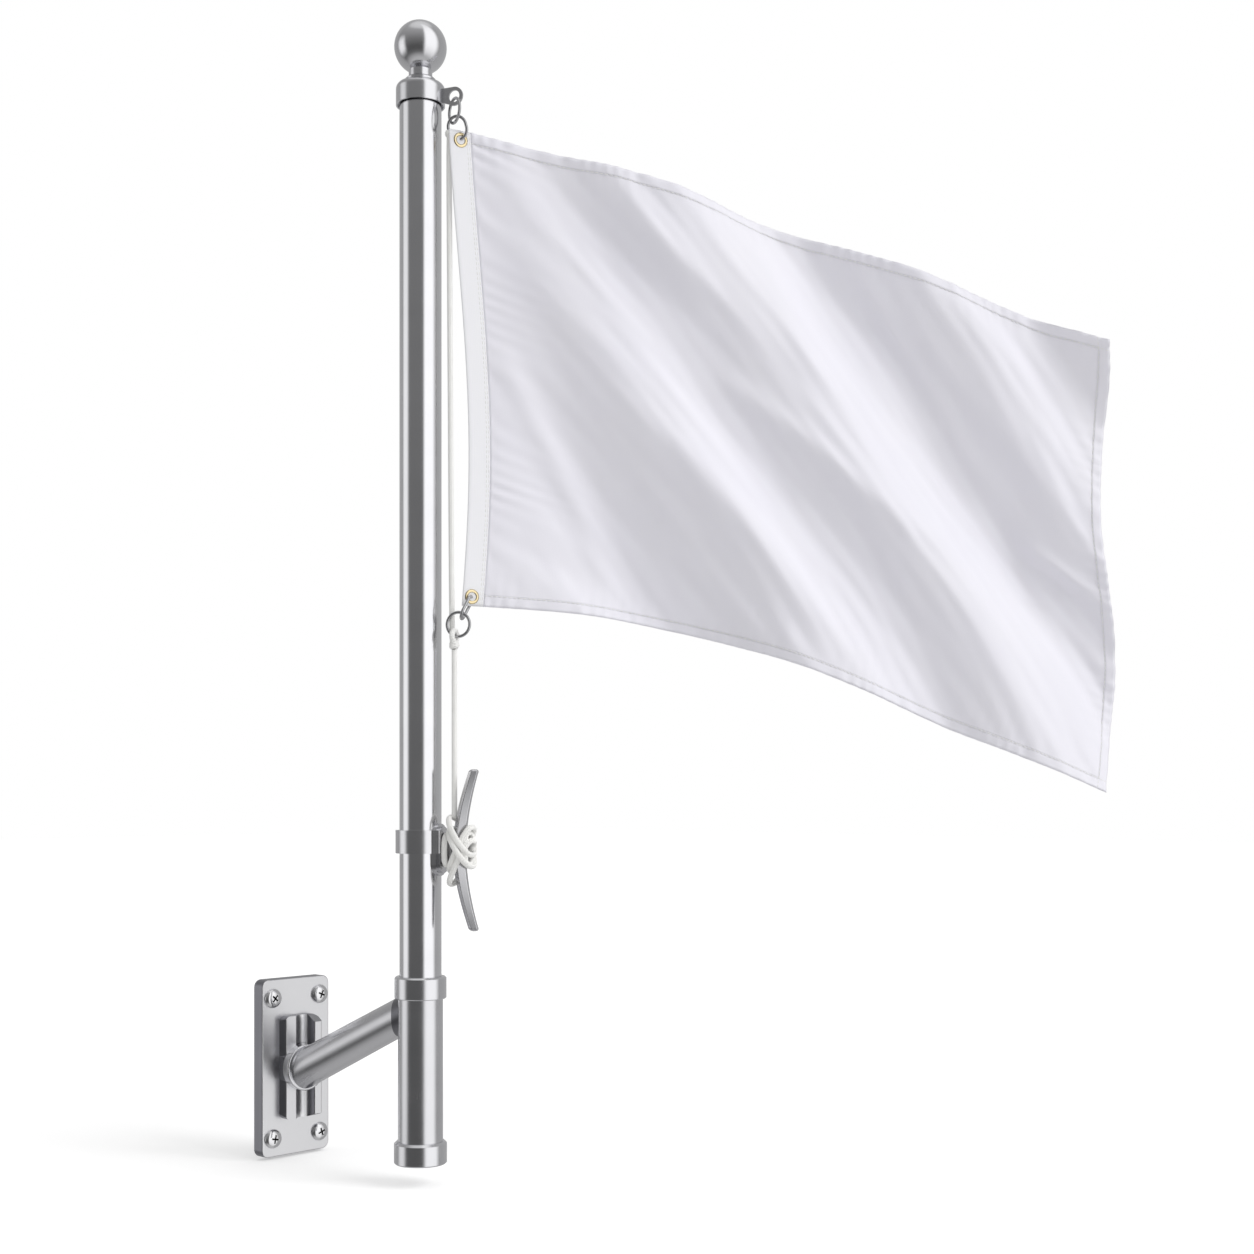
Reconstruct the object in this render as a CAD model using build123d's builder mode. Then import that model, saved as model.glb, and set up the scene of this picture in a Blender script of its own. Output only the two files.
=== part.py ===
from build123d import *
import math
import os

# Small wall-mounted flagpole: wall plate and boss, rising arm, upright socket, pole with
# ball finial, horn cleat on a clamp band, halyard, rings and a small flag.
# The origin is on the wall, at the middle of the plate's back face. The object stands
# off the wall toward -Y, and +Z is up.

# Wall plate and its screw holes
plate_width = 53.0
plate_height = 115.0
plate_thickness = 9.0
plate_corner = 5.0
plate_edge = 0.8
screw_spacing_across = 37.0
screw_spacing_up = 91.0
screw_hole_diameter = 6.6

# Boss on the plate: a low strip, a hollow trough and a taller rib with sloped ends
boss_width = 26.4
boss_height = 67.0
boss_corner = 4.0
boss_draft = 0.7
boss_edge = 1.0
boss_strip = 6.6
boss_trough = 3.0
boss_rib = 11.4
rib_width = 6.6
rib_flank = 0.7
rib_foot = 4.2
rib_top_slope = 4.6
rib_bottom_slope = 2.4
strip_width = 8.8

# Arm and its ring
standoff = 135.0
arm_rise = 49.5
arm_root_diameter = 25.0
arm_tip_diameter = 22.2
arm_wall = 2.0
ring_flange_diameter = 30.2
ring_flange_thickness = 5.6
ring_flange_edge = 1.0
ring_seat = 2.0
saddle_reach = 4.5
saddle_proud = 0.5

# Pole, socket, collar and cap
pole_diameter = 25.4
pole_wall = 1.5
pole_top = 603.0
socket_clearance = 0.1
socket_wall = 0.8
collar_bottom = 54.2
collar_height = 13.4
collar_diameter = 31.4
collar_seat = 8.0
collar_lip = 1.0
cap_bottom = -45.9
cap_height = 13.6
cap_floor = 2.5
cap_diameter = 32.0
cap_lip = 1.4
cap_edge = 0.8

# Top cap with its eye lug
top_cap_overlap = 7.6
top_cap_height = 13.6
top_cap_diameter = 29.6
top_cap_skirt = 0.9
top_cap_recess = 3.0
top_cap_shoulder = 4.0
lug_hole_out = 23.2
lug_hole_rise = 2.6
lug_hole_diameter = 7.2
lug_eye_diameter = 11.2
lug_thickness = 1.2

# Ball finial
finial_base_diameter = 18.8
finial_base_height = 3.0
finial_base_slope = 0.9
finial_neck_diameter = 14.2
finial_neck_height = 4.8
finial_ball_diameter = 31.7
finial_stud_diameter = 6.0
finial_stud_length = 8.0
finial_fit = 0.05

# Horn cleat and its clamp
cleat_height = 144.4
cleat_out = 26.4
cleat_length = 97.0
cleat_lean = 10.2
cleat_bow = 1.7
horn_hub_width = 8.4
horn_hub_depth = 9.6
horn_tip_width = 6.0
horn_tip_depth = 6.2
horn_ridge = 0.6
horn_end = 3.0
horn_shoulder = 0.8
horn_nose = 0.4
foot_height = 15.0
foot_width = 8.0
foot_edge = 2.5
pad_height = 31.5
pad_width = 14.0
pad_thickness = 1.6
step_height = 28.0
step_width = 10.5
step_thickness = 3.6
clamp_bottom = 142.2
clamp_height = 14.0
clamp_thickness = 2.4
clamp_ears_width = 17.0
clamp_ears_out = 17.4
clamp_ears_edge = 0.8
clamp_fit = 0.1
band_gap = 0.3

# Directions in plan, measured from +X
halyard_angle = -69.0
header_angle = -20.0
flag_angle = -38.6
upper_ring_angle = -106.0
upper_link_angle = -65.0
lower_ring_angle = -64.0
lower_link_angle = 34.0
knot_loop_angle = 20.0

# Halyard, rings and links
hinge_out = 23.2
rope_diameter = 3.5
wire_diameter = 1.8
upper_ring_outer = 16.2
upper_link_length = 15.4
upper_link_width = 13.4
lower_ring_outer = 16.4
lower_ring_shift = 2.5
lower_ring_pull = 25.0
lower_link_length = 17.4
lower_link_width = 9.8
knot_diameter = 6.6
knot_height = 5.0
top_knot_diameter = 5.6
top_knot_height = 4.4
top_knot_drop = 1.6
lug_play = 1.3
link_rise = 0.6
lower_link_rise = 0.3
ring_play = 1.8
lower_ring_play = 1.2
loop_play = 0.5
body_gap = 0.3
rope_back = 4.0
rope_drift = 2.0
knot_side = 0.7
halyard_bend = 30.0

# Hitch of the halyard round the cleat: turns that rise outward under turns that fall outward
hitch_inner_out = 21.4
hitch_outer_out = 35.0
hitch_foot_out = 19.5
under_rise = 26.7
over_drop = 22.8
hitch_corner = 4.0
hitch_play = 0.3
turn_gap = 0.1
halyard_bite = 0.9

# Flag: header strip, panel and grommets
header_height = 286.2
header_width = 13.7
header_thickness = 0.8
header_start_top = -3.7
header_start_bottom = 4.7
header_heel = 9.0
header_bow = 7.5
header_bow_drop = 1.35
header_tuck = 1.0
panel_thickness = 0.8
panel_reach = 399.0
panel_droop = 112.8
panel_top_arch = 8.4
panel_bottom_arch = 20.6
panel_bottom_sway = 4.7
fly_wave = 5.6
fold_height = 8.0
billow_height = 9.0
grommet_outer = 9.0
grommet_hole = 5.2
grommet_wall = 0.5
grommet_flange = 0.3
grommet_margin = 5.7
top_grommet_along = 3.8
bottom_grommet_along = 11.1

# Worked out from the sizes above
plate_front = -plate_thickness
boss_front = plate_front - boss_strip
pole_radius = pole_diameter / 2
socket_bore = pole_radius + socket_clearance
socket_radius = socket_bore + socket_wall
collar_top = collar_bottom + collar_height
cap_top = cap_bottom + cap_height
top_cap_bottom = pole_top - top_cap_overlap
top_cap_top = top_cap_bottom + top_cap_height
lug_hole_height = top_cap_bottom + lug_hole_rise
neck_top = top_cap_top + finial_base_height + finial_neck_height
ball_radius = finial_ball_diameter / 2
ball_drop = math.sqrt(ball_radius ** 2 - (finial_neck_diameter / 2) ** 2)
ball_height = neck_top + ball_drop
rope_radius = rope_diameter / 2
wire_radius = wire_diameter / 2
pole_axis = Vector(0, -standoff, 0)


def toward(angle):
    """Level direction at an angle in plan."""
    return Vector(math.cos(math.radians(angle)), math.sin(math.radians(angle)), 0)


def upright(point, angle):
    """Upright plane through a point: its X is level at the angle, its Y points up."""
    out = toward(angle)
    return Plane(origin=point, x_dir=out, z_dir=Vector(out.Y, -out.X, 0))


def level(height):
    """Level plane round the pole's axis."""
    return Plane(origin=pole_axis + Vector(0, 0, height))


def hung(head, foot, angle):
    """Plane midway between two points: its Y runs from foot to head, its X is near the angle."""
    up = (head - foot).normalized()
    out = toward(angle)
    across = (out - up * out.dot(up)).normalized()
    return Plane(origin=(head + foot) * 0.5, x_dir=across, z_dir=across.cross(up))


hinge_foot = pole_axis + toward(halyard_angle) * hinge_out
halyard_side = upright(pole_axis, halyard_angle)
header_side = upright(hinge_foot, header_angle)

os.makedirs("parts", exist_ok=True)


def save(part, name):
    """Name a finished piece and write it."""
    part.label = name
    export_step(part, "parts/" + name + ".step")


# Wall plate: rounded slab with four screw holes
with BuildPart() as wall_plate:
    with BuildSketch(Plane.XZ):
        RectangleRounded(plate_width, plate_height, plate_corner)
        with GridLocations(screw_spacing_across, screw_spacing_up, 2, 2):
            Circle(screw_hole_diameter / 2, mode=Mode.SUBTRACT)
    extrude(amount=plate_thickness)
    front_face = wall_plate.faces().filter_by(Axis.Y).sort_by(Axis.Y)[0]
    fillet(front_face.outer_wire().edges(), plate_edge)
save(wall_plate.part, "wall_plate")

# Boss: its section across the plate, run up the plate, with a round seat for the ring
half_boss = boss_width / 2
half_boss_height = boss_height / 2
rib_front = plate_front - boss_rib
trough_left = strip_width - half_boss
trough_right = half_boss - rib_width - rib_flank
rib_foot_front = plate_front - rib_foot
with BuildPart() as bracket_boss:
    with BuildSketch(Plane.XY.offset(-half_boss_height)) as boss_section:
        with BuildLine():
            Polyline(
                (trough_left, boss_front),
                (boss_draft - half_boss, boss_front),
                (-half_boss, plate_front),
                (half_boss, plate_front),
                (half_boss - boss_draft, rib_front),
                (half_boss - rib_width, rib_front),
                (trough_right, rib_foot_front),
            )
            ThreePointArc(
                (trough_right, rib_foot_front),
                ((trough_left + trough_right) / 2, plate_front - boss_trough),
                (trough_left, boss_front),
            )
        make_face()
        outer_corners = boss_section.vertices().filter_by(
            lambda corner: corner.Y <= boss_front + boss_edge / 2
        )
        fillet(outer_corners, boss_edge)
    extrude(amount=boss_height)
    with BuildSketch(Plane.XZ.offset(plate_thickness)):
        Circle(ring_flange_diameter / 2)
    extrude(amount=boss_strip)
    with BuildSketch(Plane.XZ.offset(plate_thickness)):
        RectangleRounded(boss_width, boss_height, boss_corner)
    extrude(amount=boss_rib, mode=Mode.INTERSECT)
    with BuildSketch(Plane.XZ.offset(-boss_front)):
        Circle(ring_flange_diameter / 2)
    extrude(amount=boss_rib, mode=Mode.SUBTRACT)
    with BuildSketch(Plane.YZ.offset(trough_right)):
        for side, slope in ((1, rib_top_slope), (-1, rib_bottom_slope)):
            with BuildLine():
                Polyline(
                    (rib_foot_front, side * half_boss_height),
                    (rib_front, side * (half_boss_height - slope)),
                    (rib_front - slope, side * (half_boss_height - slope)),
                    (rib_front - slope, side * half_boss_height),
                    close=True,
                )
            make_face()
    extrude(amount=boss_width, mode=Mode.SUBTRACT)
save(bracket_boss.part, "bracket_boss")

# Arm: tapered tube from the ring on the boss up to the socket
ring_front = boss_front - ring_flange_thickness
arm_root = Vector(0, ring_front, 0)
arm_foot = ring_front + ring_seat
arm_tip = pole_axis + Vector(0, 0, arm_rise)
arm_length = (arm_tip - arm_root).length
arm_plane = Plane(origin=arm_root, x_dir=(1, 0, 0), z_dir=arm_tip - arm_root)
arm_slope = (arm_root_diameter - arm_tip_diameter) / 2 / arm_length
arm_overrun = arm_root_diameter / 2


def arm_radius(along):
    """Outer radius of the tapered arm at a distance from its root."""
    return arm_root_diameter / 2 - arm_slope * along


with BuildPart() as arm_tube:
    with BuildSketch(arm_plane.offset(-arm_overrun)):
        Circle(arm_radius(-arm_overrun))
    with BuildSketch(arm_plane.offset(arm_length)):
        Circle(arm_radius(arm_length))
    loft()
    with BuildSketch(arm_plane.offset(-arm_overrun)):
        Circle(arm_radius(-arm_overrun) - arm_wall)
    with BuildSketch(arm_plane.offset(arm_length)):
        Circle(arm_radius(arm_length) - arm_wall)
    loft(mode=Mode.SUBTRACT)
    split(bisect_by=Plane.XZ.offset(-arm_foot), keep=Keep.TOP)
    with BuildSketch(level(0)):
        Circle(socket_radius + saddle_reach)
    extrude(amount=arm_rise * 2, mode=Mode.SUBTRACT)
save(arm_tube.part, "arm_tube")

# Ring flange on the boss, with a shallow socket for the arm's foot
with BuildPart() as arm_ring:
    with BuildSketch(Plane.XZ.offset(-arm_foot)):
        Circle(ring_flange_diameter / 2)
    extrude(amount=ring_seat)
    fillet(arm_ring.faces().sort_by(Axis.Y)[0].edges(), ring_flange_edge)
    with BuildSketch(arm_plane.offset(-arm_overrun)):
        Circle(arm_radius(-arm_overrun))
    with BuildSketch(arm_plane.offset(arm_length)):
        Circle(arm_radius(arm_length))
    loft(mode=Mode.SUBTRACT)
    with BuildSketch(Plane.XZ.offset(-boss_front)):
        Circle(ring_flange_diameter / 2)
    extrude(amount=ring_flange_thickness - ring_seat)
save(arm_ring.part, "arm_ring")

# Saddle that joins the arm's coped end to the round socket
with BuildPart() as arm_saddle:
    with BuildSketch(arm_plane):
        Circle(arm_tip_diameter / 2 + saddle_proud)
    extrude(amount=arm_length)
    with BuildSketch(level(0)):
        Circle(socket_radius + saddle_reach)
    extrude(amount=arm_rise * 2, mode=Mode.INTERSECT)
    with BuildSketch(level(0)):
        Circle(socket_radius)
    extrude(amount=arm_rise * 2, mode=Mode.SUBTRACT)
    with BuildSketch(level(collar_bottom)):
        Circle(collar_diameter / 2)
    extrude(amount=collar_height, mode=Mode.SUBTRACT)
save(arm_saddle.part, "arm_saddle")

# Socket: upright tube that holds the pole
with BuildPart() as socket_tube:
    with BuildSketch(level(cap_bottom + cap_floor)):
        Circle(socket_radius)
        Circle(socket_bore, mode=Mode.SUBTRACT)
    extrude(amount=collar_bottom + collar_seat - cap_bottom - cap_floor)
save(socket_tube.part, "socket_tube")

# Collar at the socket's mouth, stepped in to the pole
collar_radius = collar_diameter / 2
with BuildPart() as socket_collar:
    with BuildSketch(halyard_side):
        with BuildLine():
            Polyline(
                (socket_radius, collar_bottom),
                (collar_radius - collar_lip / 2, collar_bottom),
                (collar_radius, collar_bottom + collar_lip / 2),
                (collar_radius, collar_top - collar_lip),
                (collar_radius - collar_lip, collar_top),
                (socket_bore, collar_top),
                (socket_bore, collar_bottom + collar_seat),
                (socket_radius, collar_bottom + collar_seat),
                close=True,
            )
        make_face()
    revolve(axis=Axis(pole_axis, (0, 0, 1)))
save(socket_collar.part, "socket_collar")

# Cap that closes the socket's foot, with a sloped lip
cap_radius = cap_diameter / 2
with BuildPart() as socket_cap:
    with BuildSketch(halyard_side):
        with BuildLine():
            Polyline(
                (0, cap_bottom),
                (cap_radius - cap_edge, cap_bottom),
                (cap_radius, cap_bottom + cap_edge),
                (cap_radius, cap_top - cap_lip),
                (cap_radius - cap_lip, cap_top),
                (socket_radius, cap_top),
                (socket_radius, cap_bottom + cap_floor),
                (0, cap_bottom + cap_floor),
                close=True,
            )
        make_face()
    revolve(axis=Axis(pole_axis, (0, 0, 1)))
save(socket_cap.part, "socket_cap")

# Pole: straight tube standing on the cap's floor
with BuildPart() as pole_tube:
    with BuildSketch(level(cap_bottom + cap_floor)):
        Circle(pole_radius)
        Circle(pole_radius - pole_wall, mode=Mode.SUBTRACT)
    extrude(amount=pole_top - cap_bottom - cap_floor)
save(pole_tube.part, "pole_tube")

# Top cap: domed shoulder, thin skirt round the pole, and the eye lug on the halyard side
top_cap_radius = top_cap_diameter / 2
with BuildPart() as top_cap:
    with BuildSketch(halyard_side):
        with BuildLine():
            Polyline(
                (0, pole_top),
                (pole_radius, pole_top),
                (pole_radius, top_cap_bottom + top_cap_recess),
                (top_cap_radius - top_cap_skirt, top_cap_bottom + top_cap_recess),
                (top_cap_radius - top_cap_skirt, top_cap_bottom),
                (top_cap_radius, top_cap_bottom),
                (top_cap_radius, top_cap_top - top_cap_shoulder),
            )
            RadiusArc(
                (top_cap_radius, top_cap_top - top_cap_shoulder),
                (top_cap_radius - top_cap_shoulder, top_cap_top),
                -top_cap_shoulder,
            )
            Polyline(
                (top_cap_radius - top_cap_shoulder, top_cap_top),
                (0, top_cap_top),
                (0, pole_top),
            )
        make_face()
    revolve(axis=Axis(pole_axis, (0, 0, 1)))
    lug_root = top_cap_radius - top_cap_skirt / 2
    with BuildSketch(halyard_side):
        with Locations((lug_hole_out, lug_hole_height)):
            Circle(lug_eye_diameter / 2)
        with BuildLine():
            Polyline(
                (lug_root, lug_hole_height + lug_eye_diameter / 2),
                (lug_hole_out, lug_hole_height + lug_eye_diameter / 2),
                (lug_hole_out, lug_hole_height - lug_eye_diameter / 2),
                (lug_root, top_cap_bottom),
                close=True,
            )
        make_face()
        with Locations((lug_hole_out, lug_hole_height)):
            Circle(lug_hole_diameter / 2, mode=Mode.SUBTRACT)
    extrude(amount=lug_thickness / 2, both=True)
save(top_cap.part, "top_cap")

# Neck of the finial, turned with a base ring and a stud for the ball
neck_radius = finial_neck_diameter / 2
stud_radius = finial_stud_diameter / 2
with BuildPart() as finial_neck:
    with BuildSketch(halyard_side):
        with BuildLine():
            base_top = top_cap_top + finial_base_height
            Polyline(
                (0, top_cap_top),
                (finial_base_diameter / 2, top_cap_top),
                (finial_base_diameter / 2, base_top - finial_base_slope),
                (finial_base_diameter / 2 - finial_base_slope, base_top),
                (neck_radius, base_top),
                (neck_radius, neck_top),
                (stud_radius, neck_top),
                (stud_radius, neck_top + finial_stud_length),
                (0, neck_top + finial_stud_length),
                close=True,
            )
        make_face()
    revolve(axis=Axis(pole_axis, (0, 0, 1)))
save(finial_neck.part, "finial_neck")

# Ball: a sphere with a flat and a blind hole over the neck's stud
with BuildPart() as finial_ball:
    with Locations(pole_axis + Vector(0, 0, ball_height)):
        Sphere(ball_radius)
    split(bisect_by=level(neck_top), keep=Keep.TOP)
    with BuildSketch(level(neck_top)):
        Circle(stud_radius + finial_fit)
    extrude(amount=finial_stud_length + finial_fit, mode=Mode.SUBTRACT)
save(finial_ball.part, "finial_ball")

# Cleat: pad curved to the pole, tall foot and two ridged horns
horn_half = cleat_length / 2


def horn_section(width, depth):
    """Ridged section: soft on its inner and outer sides, sharp along its flanks."""
    with BuildSketch(mode=Mode.PRIVATE) as section:
        with BuildLine():
            Polyline(
                (-width / 2, -width / 6),
                (0, -depth / 2),
                (width / 2, -width / 6),
                (width / 2, width / 6),
                (0, depth / 2),
                (-width / 2, width / 6),
                close=True,
            )
        make_face()
        fillet(section.vertices(), horn_ridge * width / horn_hub_width)
    return section.sketch


def horn_station(side, reach):
    """Level plane across a horn, at a share of its length from the cleat's middle."""
    out = cleat_out + cleat_lean * reach ** cleat_bow
    centre = halyard_side.from_local_coords((out, cleat_height + side * horn_half * reach, 0))
    return Plane(centre, x_dir=toward(halyard_angle), z_dir=(0, 0, side))


nose_start = 1 - horn_end / horn_half
nose_shoulder = 1 - horn_end / horn_half * (1 - horn_shoulder)

with BuildPart() as cleat:
    for side in (1, -1):
        for share in (0, 1 / 3, 2 / 3, 1):
            width = horn_hub_width + (horn_tip_width - horn_hub_width) * share
            depth = horn_hub_depth + (horn_tip_depth - horn_hub_depth) * share
            with BuildSketch(horn_station(side, nose_start * share)):
                add(horn_section(width, depth))
        loft()
        for reach, share in ((nose_start, 1), (nose_shoulder, horn_shoulder), (1, horn_nose)):
            with BuildSketch(horn_station(side, reach)):
                add(horn_section(horn_tip_width * share, horn_tip_depth * share))
        loft()
    foot_plane = Plane(
        pole_axis + Vector(0, 0, cleat_height),
        x_dir=(0, 0, 1),
        z_dir=toward(halyard_angle),
    )
    with BuildSketch(foot_plane):
        RectangleRounded(foot_height, foot_width, foot_edge)
    extrude(amount=cleat_out)
    with BuildSketch(foot_plane):
        SlotOverall(pad_height, pad_width)
    extrude(amount=pole_radius + pad_thickness)
    with BuildSketch(foot_plane):
        SlotOverall(step_height, step_width)
    extrude(amount=pole_radius + step_thickness)
    with BuildSketch(level(cleat_height - pad_height)):
        Circle(pole_radius)
    extrude(amount=pad_height * 2, mode=Mode.SUBTRACT)
save(cleat.part, "cleat")

# Clamp ears: grip the cleat's foot from both sides and hold the ends of the band
clamp_middle = clamp_bottom + clamp_height / 2
clamp_reach = pole_radius + clamp_thickness
with BuildPart() as clamp_ears:
    with BuildSketch(level(clamp_bottom)):
        with BuildLine(Plane.XY.rotated((0, 0, halyard_angle))):
            Polyline(
                (0, -clamp_ears_width / 2),
                (clamp_ears_out, -clamp_ears_width / 2),
                (clamp_ears_out, clamp_ears_width / 2),
                (0, clamp_ears_width / 2),
                close=True,
            )
        make_face()
    extrude(amount=clamp_height)
    outer_face = clamp_ears.faces().sort_by(Axis((0, 0, 0), toward(halyard_angle)))[-1]
    fillet(outer_face.edges(), clamp_ears_edge)
    with BuildSketch(level(clamp_bottom)):
        Circle(pole_radius)
    extrude(amount=clamp_height, mode=Mode.SUBTRACT)
    with BuildSketch(foot_plane):
        SlotOverall(pad_height + clamp_fit * 2, pad_width + clamp_fit * 2)
    extrude(amount=pole_radius + pad_thickness + clamp_fit, mode=Mode.SUBTRACT)
    with BuildSketch(foot_plane):
        SlotOverall(step_height + clamp_fit * 2, step_width + clamp_fit * 2)
    extrude(amount=clamp_ears_out + clamp_ears_edge, mode=Mode.SUBTRACT)
save(clamp_ears.part, "clamp_ears")

# Clamp band: hoop round the pole that ends against the ears
with BuildPart() as clamp_band:
    with BuildSketch(level(clamp_bottom)):
        Circle(clamp_reach)
        Circle(pole_radius, mode=Mode.SUBTRACT)
        with BuildLine(Plane.XY.rotated((0, 0, halyard_angle))):
            Polyline(
                (0, -clamp_ears_width / 2 - band_gap),
                (clamp_ears_out, -clamp_ears_width / 2 - band_gap),
                (clamp_ears_out, clamp_ears_width / 2 + band_gap),
                (0, clamp_ears_width / 2 + band_gap),
                close=True,
            )
        make_face(mode=Mode.SUBTRACT)
    extrude(amount=clamp_height)
save(clamp_band.part, "clamp_band")


def wire_ring(plane, length, width, thickness):
    """Closed ring of round wire in a plane: round, or with straight sides where it is long."""
    bend = (width - thickness) / 2
    straight = (length - width) / 2
    with BuildPart(plane) as ring:
        if straight > 0:
            with BuildLine(plane) as path:
                Line((bend, -straight), (bend, straight))
                ThreePointArc((bend, straight), (0, straight + bend), (-bend, straight))
                Line((-bend, straight), (-bend, -straight))
                ThreePointArc((-bend, -straight), (0, -straight - bend), (bend, -straight))
            with BuildSketch(Plane(origin=path.line @ 0, z_dir=path.line % 0)):
                Circle(thickness / 2)
            sweep()
        else:
            Torus(bend, thickness / 2)
    return ring.part


# Upper ring: hangs in the lug's hole
upper_ring_bend = (upper_ring_outer - wire_diameter) / 2
upper_ring_top = lug_hole_height - lug_hole_diameter / 2 + wire_radius + lug_play
upper_ring_height = upper_ring_top - upper_ring_bend
upper_ring_plane = upright(hinge_foot + Vector(0, 0, upper_ring_height), upper_ring_angle)
upper_ring = wire_ring(upper_ring_plane, upper_ring_outer, upper_ring_outer, wire_diameter)
save(upper_ring, "upper_ring")

# Upper link: hangs in the upper ring and carries the flag's top grommet
link_head = hinge_foot + Vector(0, 0, upper_ring_top - upper_ring_bend * 2 + wire_diameter + ring_play)
upper_link_drop = math.sqrt((upper_link_length - wire_diameter) ** 2 - top_grommet_along ** 2)
link_foot = link_head + toward(header_angle) * top_grommet_along - Vector(0, 0, upper_link_drop)
top_grommet = link_foot - Vector(0, 0, link_rise)
upper_link_plane = hung(link_head, link_foot, upper_link_angle)
upper_link = wire_ring(upper_link_plane, upper_link_length, upper_link_width, wire_diameter)
save(upper_link, "upper_link")

# Flag header and its grommets, set out down from the upper link
top_grommet_height = top_grommet.Z
header_top = top_grommet_height + grommet_margin
header_bottom = header_top - header_height
bottom_grommet_height = header_bottom + grommet_margin
bottom_grommet = header_side.from_local_coords((bottom_grommet_along, bottom_grommet_height, 0))

# Lower ring: stands to one side of the rope, pulled by the lower link
lower_ring_bend = (lower_ring_outer - wire_diameter) / 2
lower_ring_chord = math.sqrt(lower_ring_bend ** 2 - lower_ring_shift ** 2)
pull = math.radians(lower_ring_pull)
link_seat = lower_ring_bend - wire_diameter - lower_ring_play
lower_head = bottom_grommet - Vector(0, 0, lower_link_rise)
foot_out = lower_ring_shift + link_seat * math.sin(pull)
foot_point = hinge_foot + toward(lower_ring_angle) * foot_out
lower_link_lean = math.hypot(lower_head.X - foot_point.X, lower_head.Y - foot_point.Y)
lower_link_drop = math.sqrt((lower_link_length - wire_diameter) ** 2 - lower_link_lean ** 2)
lower_foot = foot_point + Vector(0, 0, lower_head.Z - lower_link_drop)
lower_ring_height = lower_foot.Z - link_seat * math.cos(pull)
lower_ring_centre = hinge_foot + toward(lower_ring_angle) * lower_ring_shift
lower_ring_plane = upright(lower_ring_centre + Vector(0, 0, lower_ring_height), lower_ring_angle)
lower_ring = wire_ring(lower_ring_plane, lower_ring_outer, lower_ring_outer, wire_diameter)
save(lower_ring, "lower_ring")

# Lower link: joins the bottom grommet to the lower ring
lower_link = wire_ring(
    hung(lower_head, lower_foot, lower_link_angle),
    lower_link_length,
    lower_link_width,
    wire_diameter,
)
save(lower_link, "lower_link")


def bead(centre, diameter, height):
    """Solid round knot, softened at its edges."""
    with BuildPart(Plane(centre)) as knot:
        Cylinder(diameter / 2, height)
        fillet(knot.edges().filter_by(GeomType.CIRCLE), height * 0.4)
    return knot.part


# Lower knot: loop of rope through the lower ring, tied off in a round knot
loop_height = lower_ring_height - lower_ring_chord
loop_outer = wire_diameter + rope_diameter * 2 + loop_play * 2
knot_middle = loop_height - loop_outer / 2 + rope_radius - knot_height / 2
with BuildPart() as halyard_knot:
    add(wire_ring(
        upright(hinge_foot + Vector(0, 0, loop_height), knot_loop_angle),
        loop_outer,
        loop_outer,
        rope_diameter,
    ))
    add(bead(hinge_foot + Vector(0, 0, knot_middle), knot_diameter, knot_height))
save(halyard_knot.part, "halyard_knot")

# Upper halyard: from the lower knot, behind the header, to a knot on the upper link
back = toward(header_angle + 90) * rope_back
upper_link_bend = (upper_link_width - wire_diameter) / 2
top_knot = upper_link_plane.from_local_coords((-upper_link_bend, -top_knot_drop, 0))
lower_bend = hinge_foot + back + Vector(0, 0, lower_ring_height - knot_height)
upper_bend = hinge_foot + back - toward(header_angle) * rope_drift + Vector(0, 0, header_top - header_width)
with BuildPart() as halyard_upper:
    with BuildLine() as upper_route:
        FilletPolyline(
            hinge_foot + back * knot_side + Vector(0, 0, knot_middle),
            lower_bend,
            upper_bend,
            top_knot,
            radius=halyard_bend,
        )
    with BuildSketch(Plane(origin=upper_route.line @ 0, z_dir=upper_route.line % 0)):
        Circle(rope_radius)
    sweep()
    add(bead(top_knot, top_knot_diameter, top_knot_height))
save(halyard_upper.part, "halyard_upper")

# Lower halyard: hangs straight from the knot and runs into the hitch
foot_turn_reach = foot_height / 2 + rope_radius + hitch_play
near_turn = foot_turn_reach + rope_diameter + turn_gap
turn_reach = hitch_outer_out - hitch_inner_out


def turn_pitch(rise):
    """Height from one leaning turn to the next, so that the turns lie side by side."""
    return (rope_diameter + turn_gap) * math.hypot(turn_reach, rise) / turn_reach


over_heights = (cleat_height + near_turn, cleat_height + near_turn + turn_pitch(over_drop))
under_heights = (cleat_height - near_turn, cleat_height - near_turn - turn_pitch(under_rise))
halyard_foot = max(over_heights) - halyard_bite
knot_bottom = knot_middle - knot_height / 2
with BuildPart() as halyard_lower:
    with BuildSketch(Plane(hinge_foot + Vector(0, 0, halyard_foot))):
        Circle(rope_radius)
    extrude(amount=knot_bottom - body_gap - halyard_foot)
save(halyard_lower.part, "halyard_lower")


def rope_turn(inner, outer, across):
    """One closed turn of rope round the cleat, from an inner to an outer point of its side plane."""
    start = halyard_side.from_local_coords((inner[0], inner[1], 0))
    end = halyard_side.from_local_coords((outer[0], outer[1], 0))
    along = (end - start).normalized()
    turn_plane = Plane(
        origin=(start + end) * 0.5, x_dir=along, z_dir=along.cross(halyard_side.z_dir)
    )
    half_length = (end - start).length / 2
    half_width = across / 2
    with BuildPart() as turn:
        with BuildLine(turn_plane) as path:
            FilletPolyline(
                (half_length, half_width),
                (half_length, -half_width),
                (-half_length, -half_width),
                (-half_length, half_width),
                radius=hitch_corner,
                close=True,
            )
        with BuildSketch(Plane(origin=path.line @ 0, z_dir=path.line % 0)):
            Circle(rope_radius)
        sweep()
    return turn.part


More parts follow.
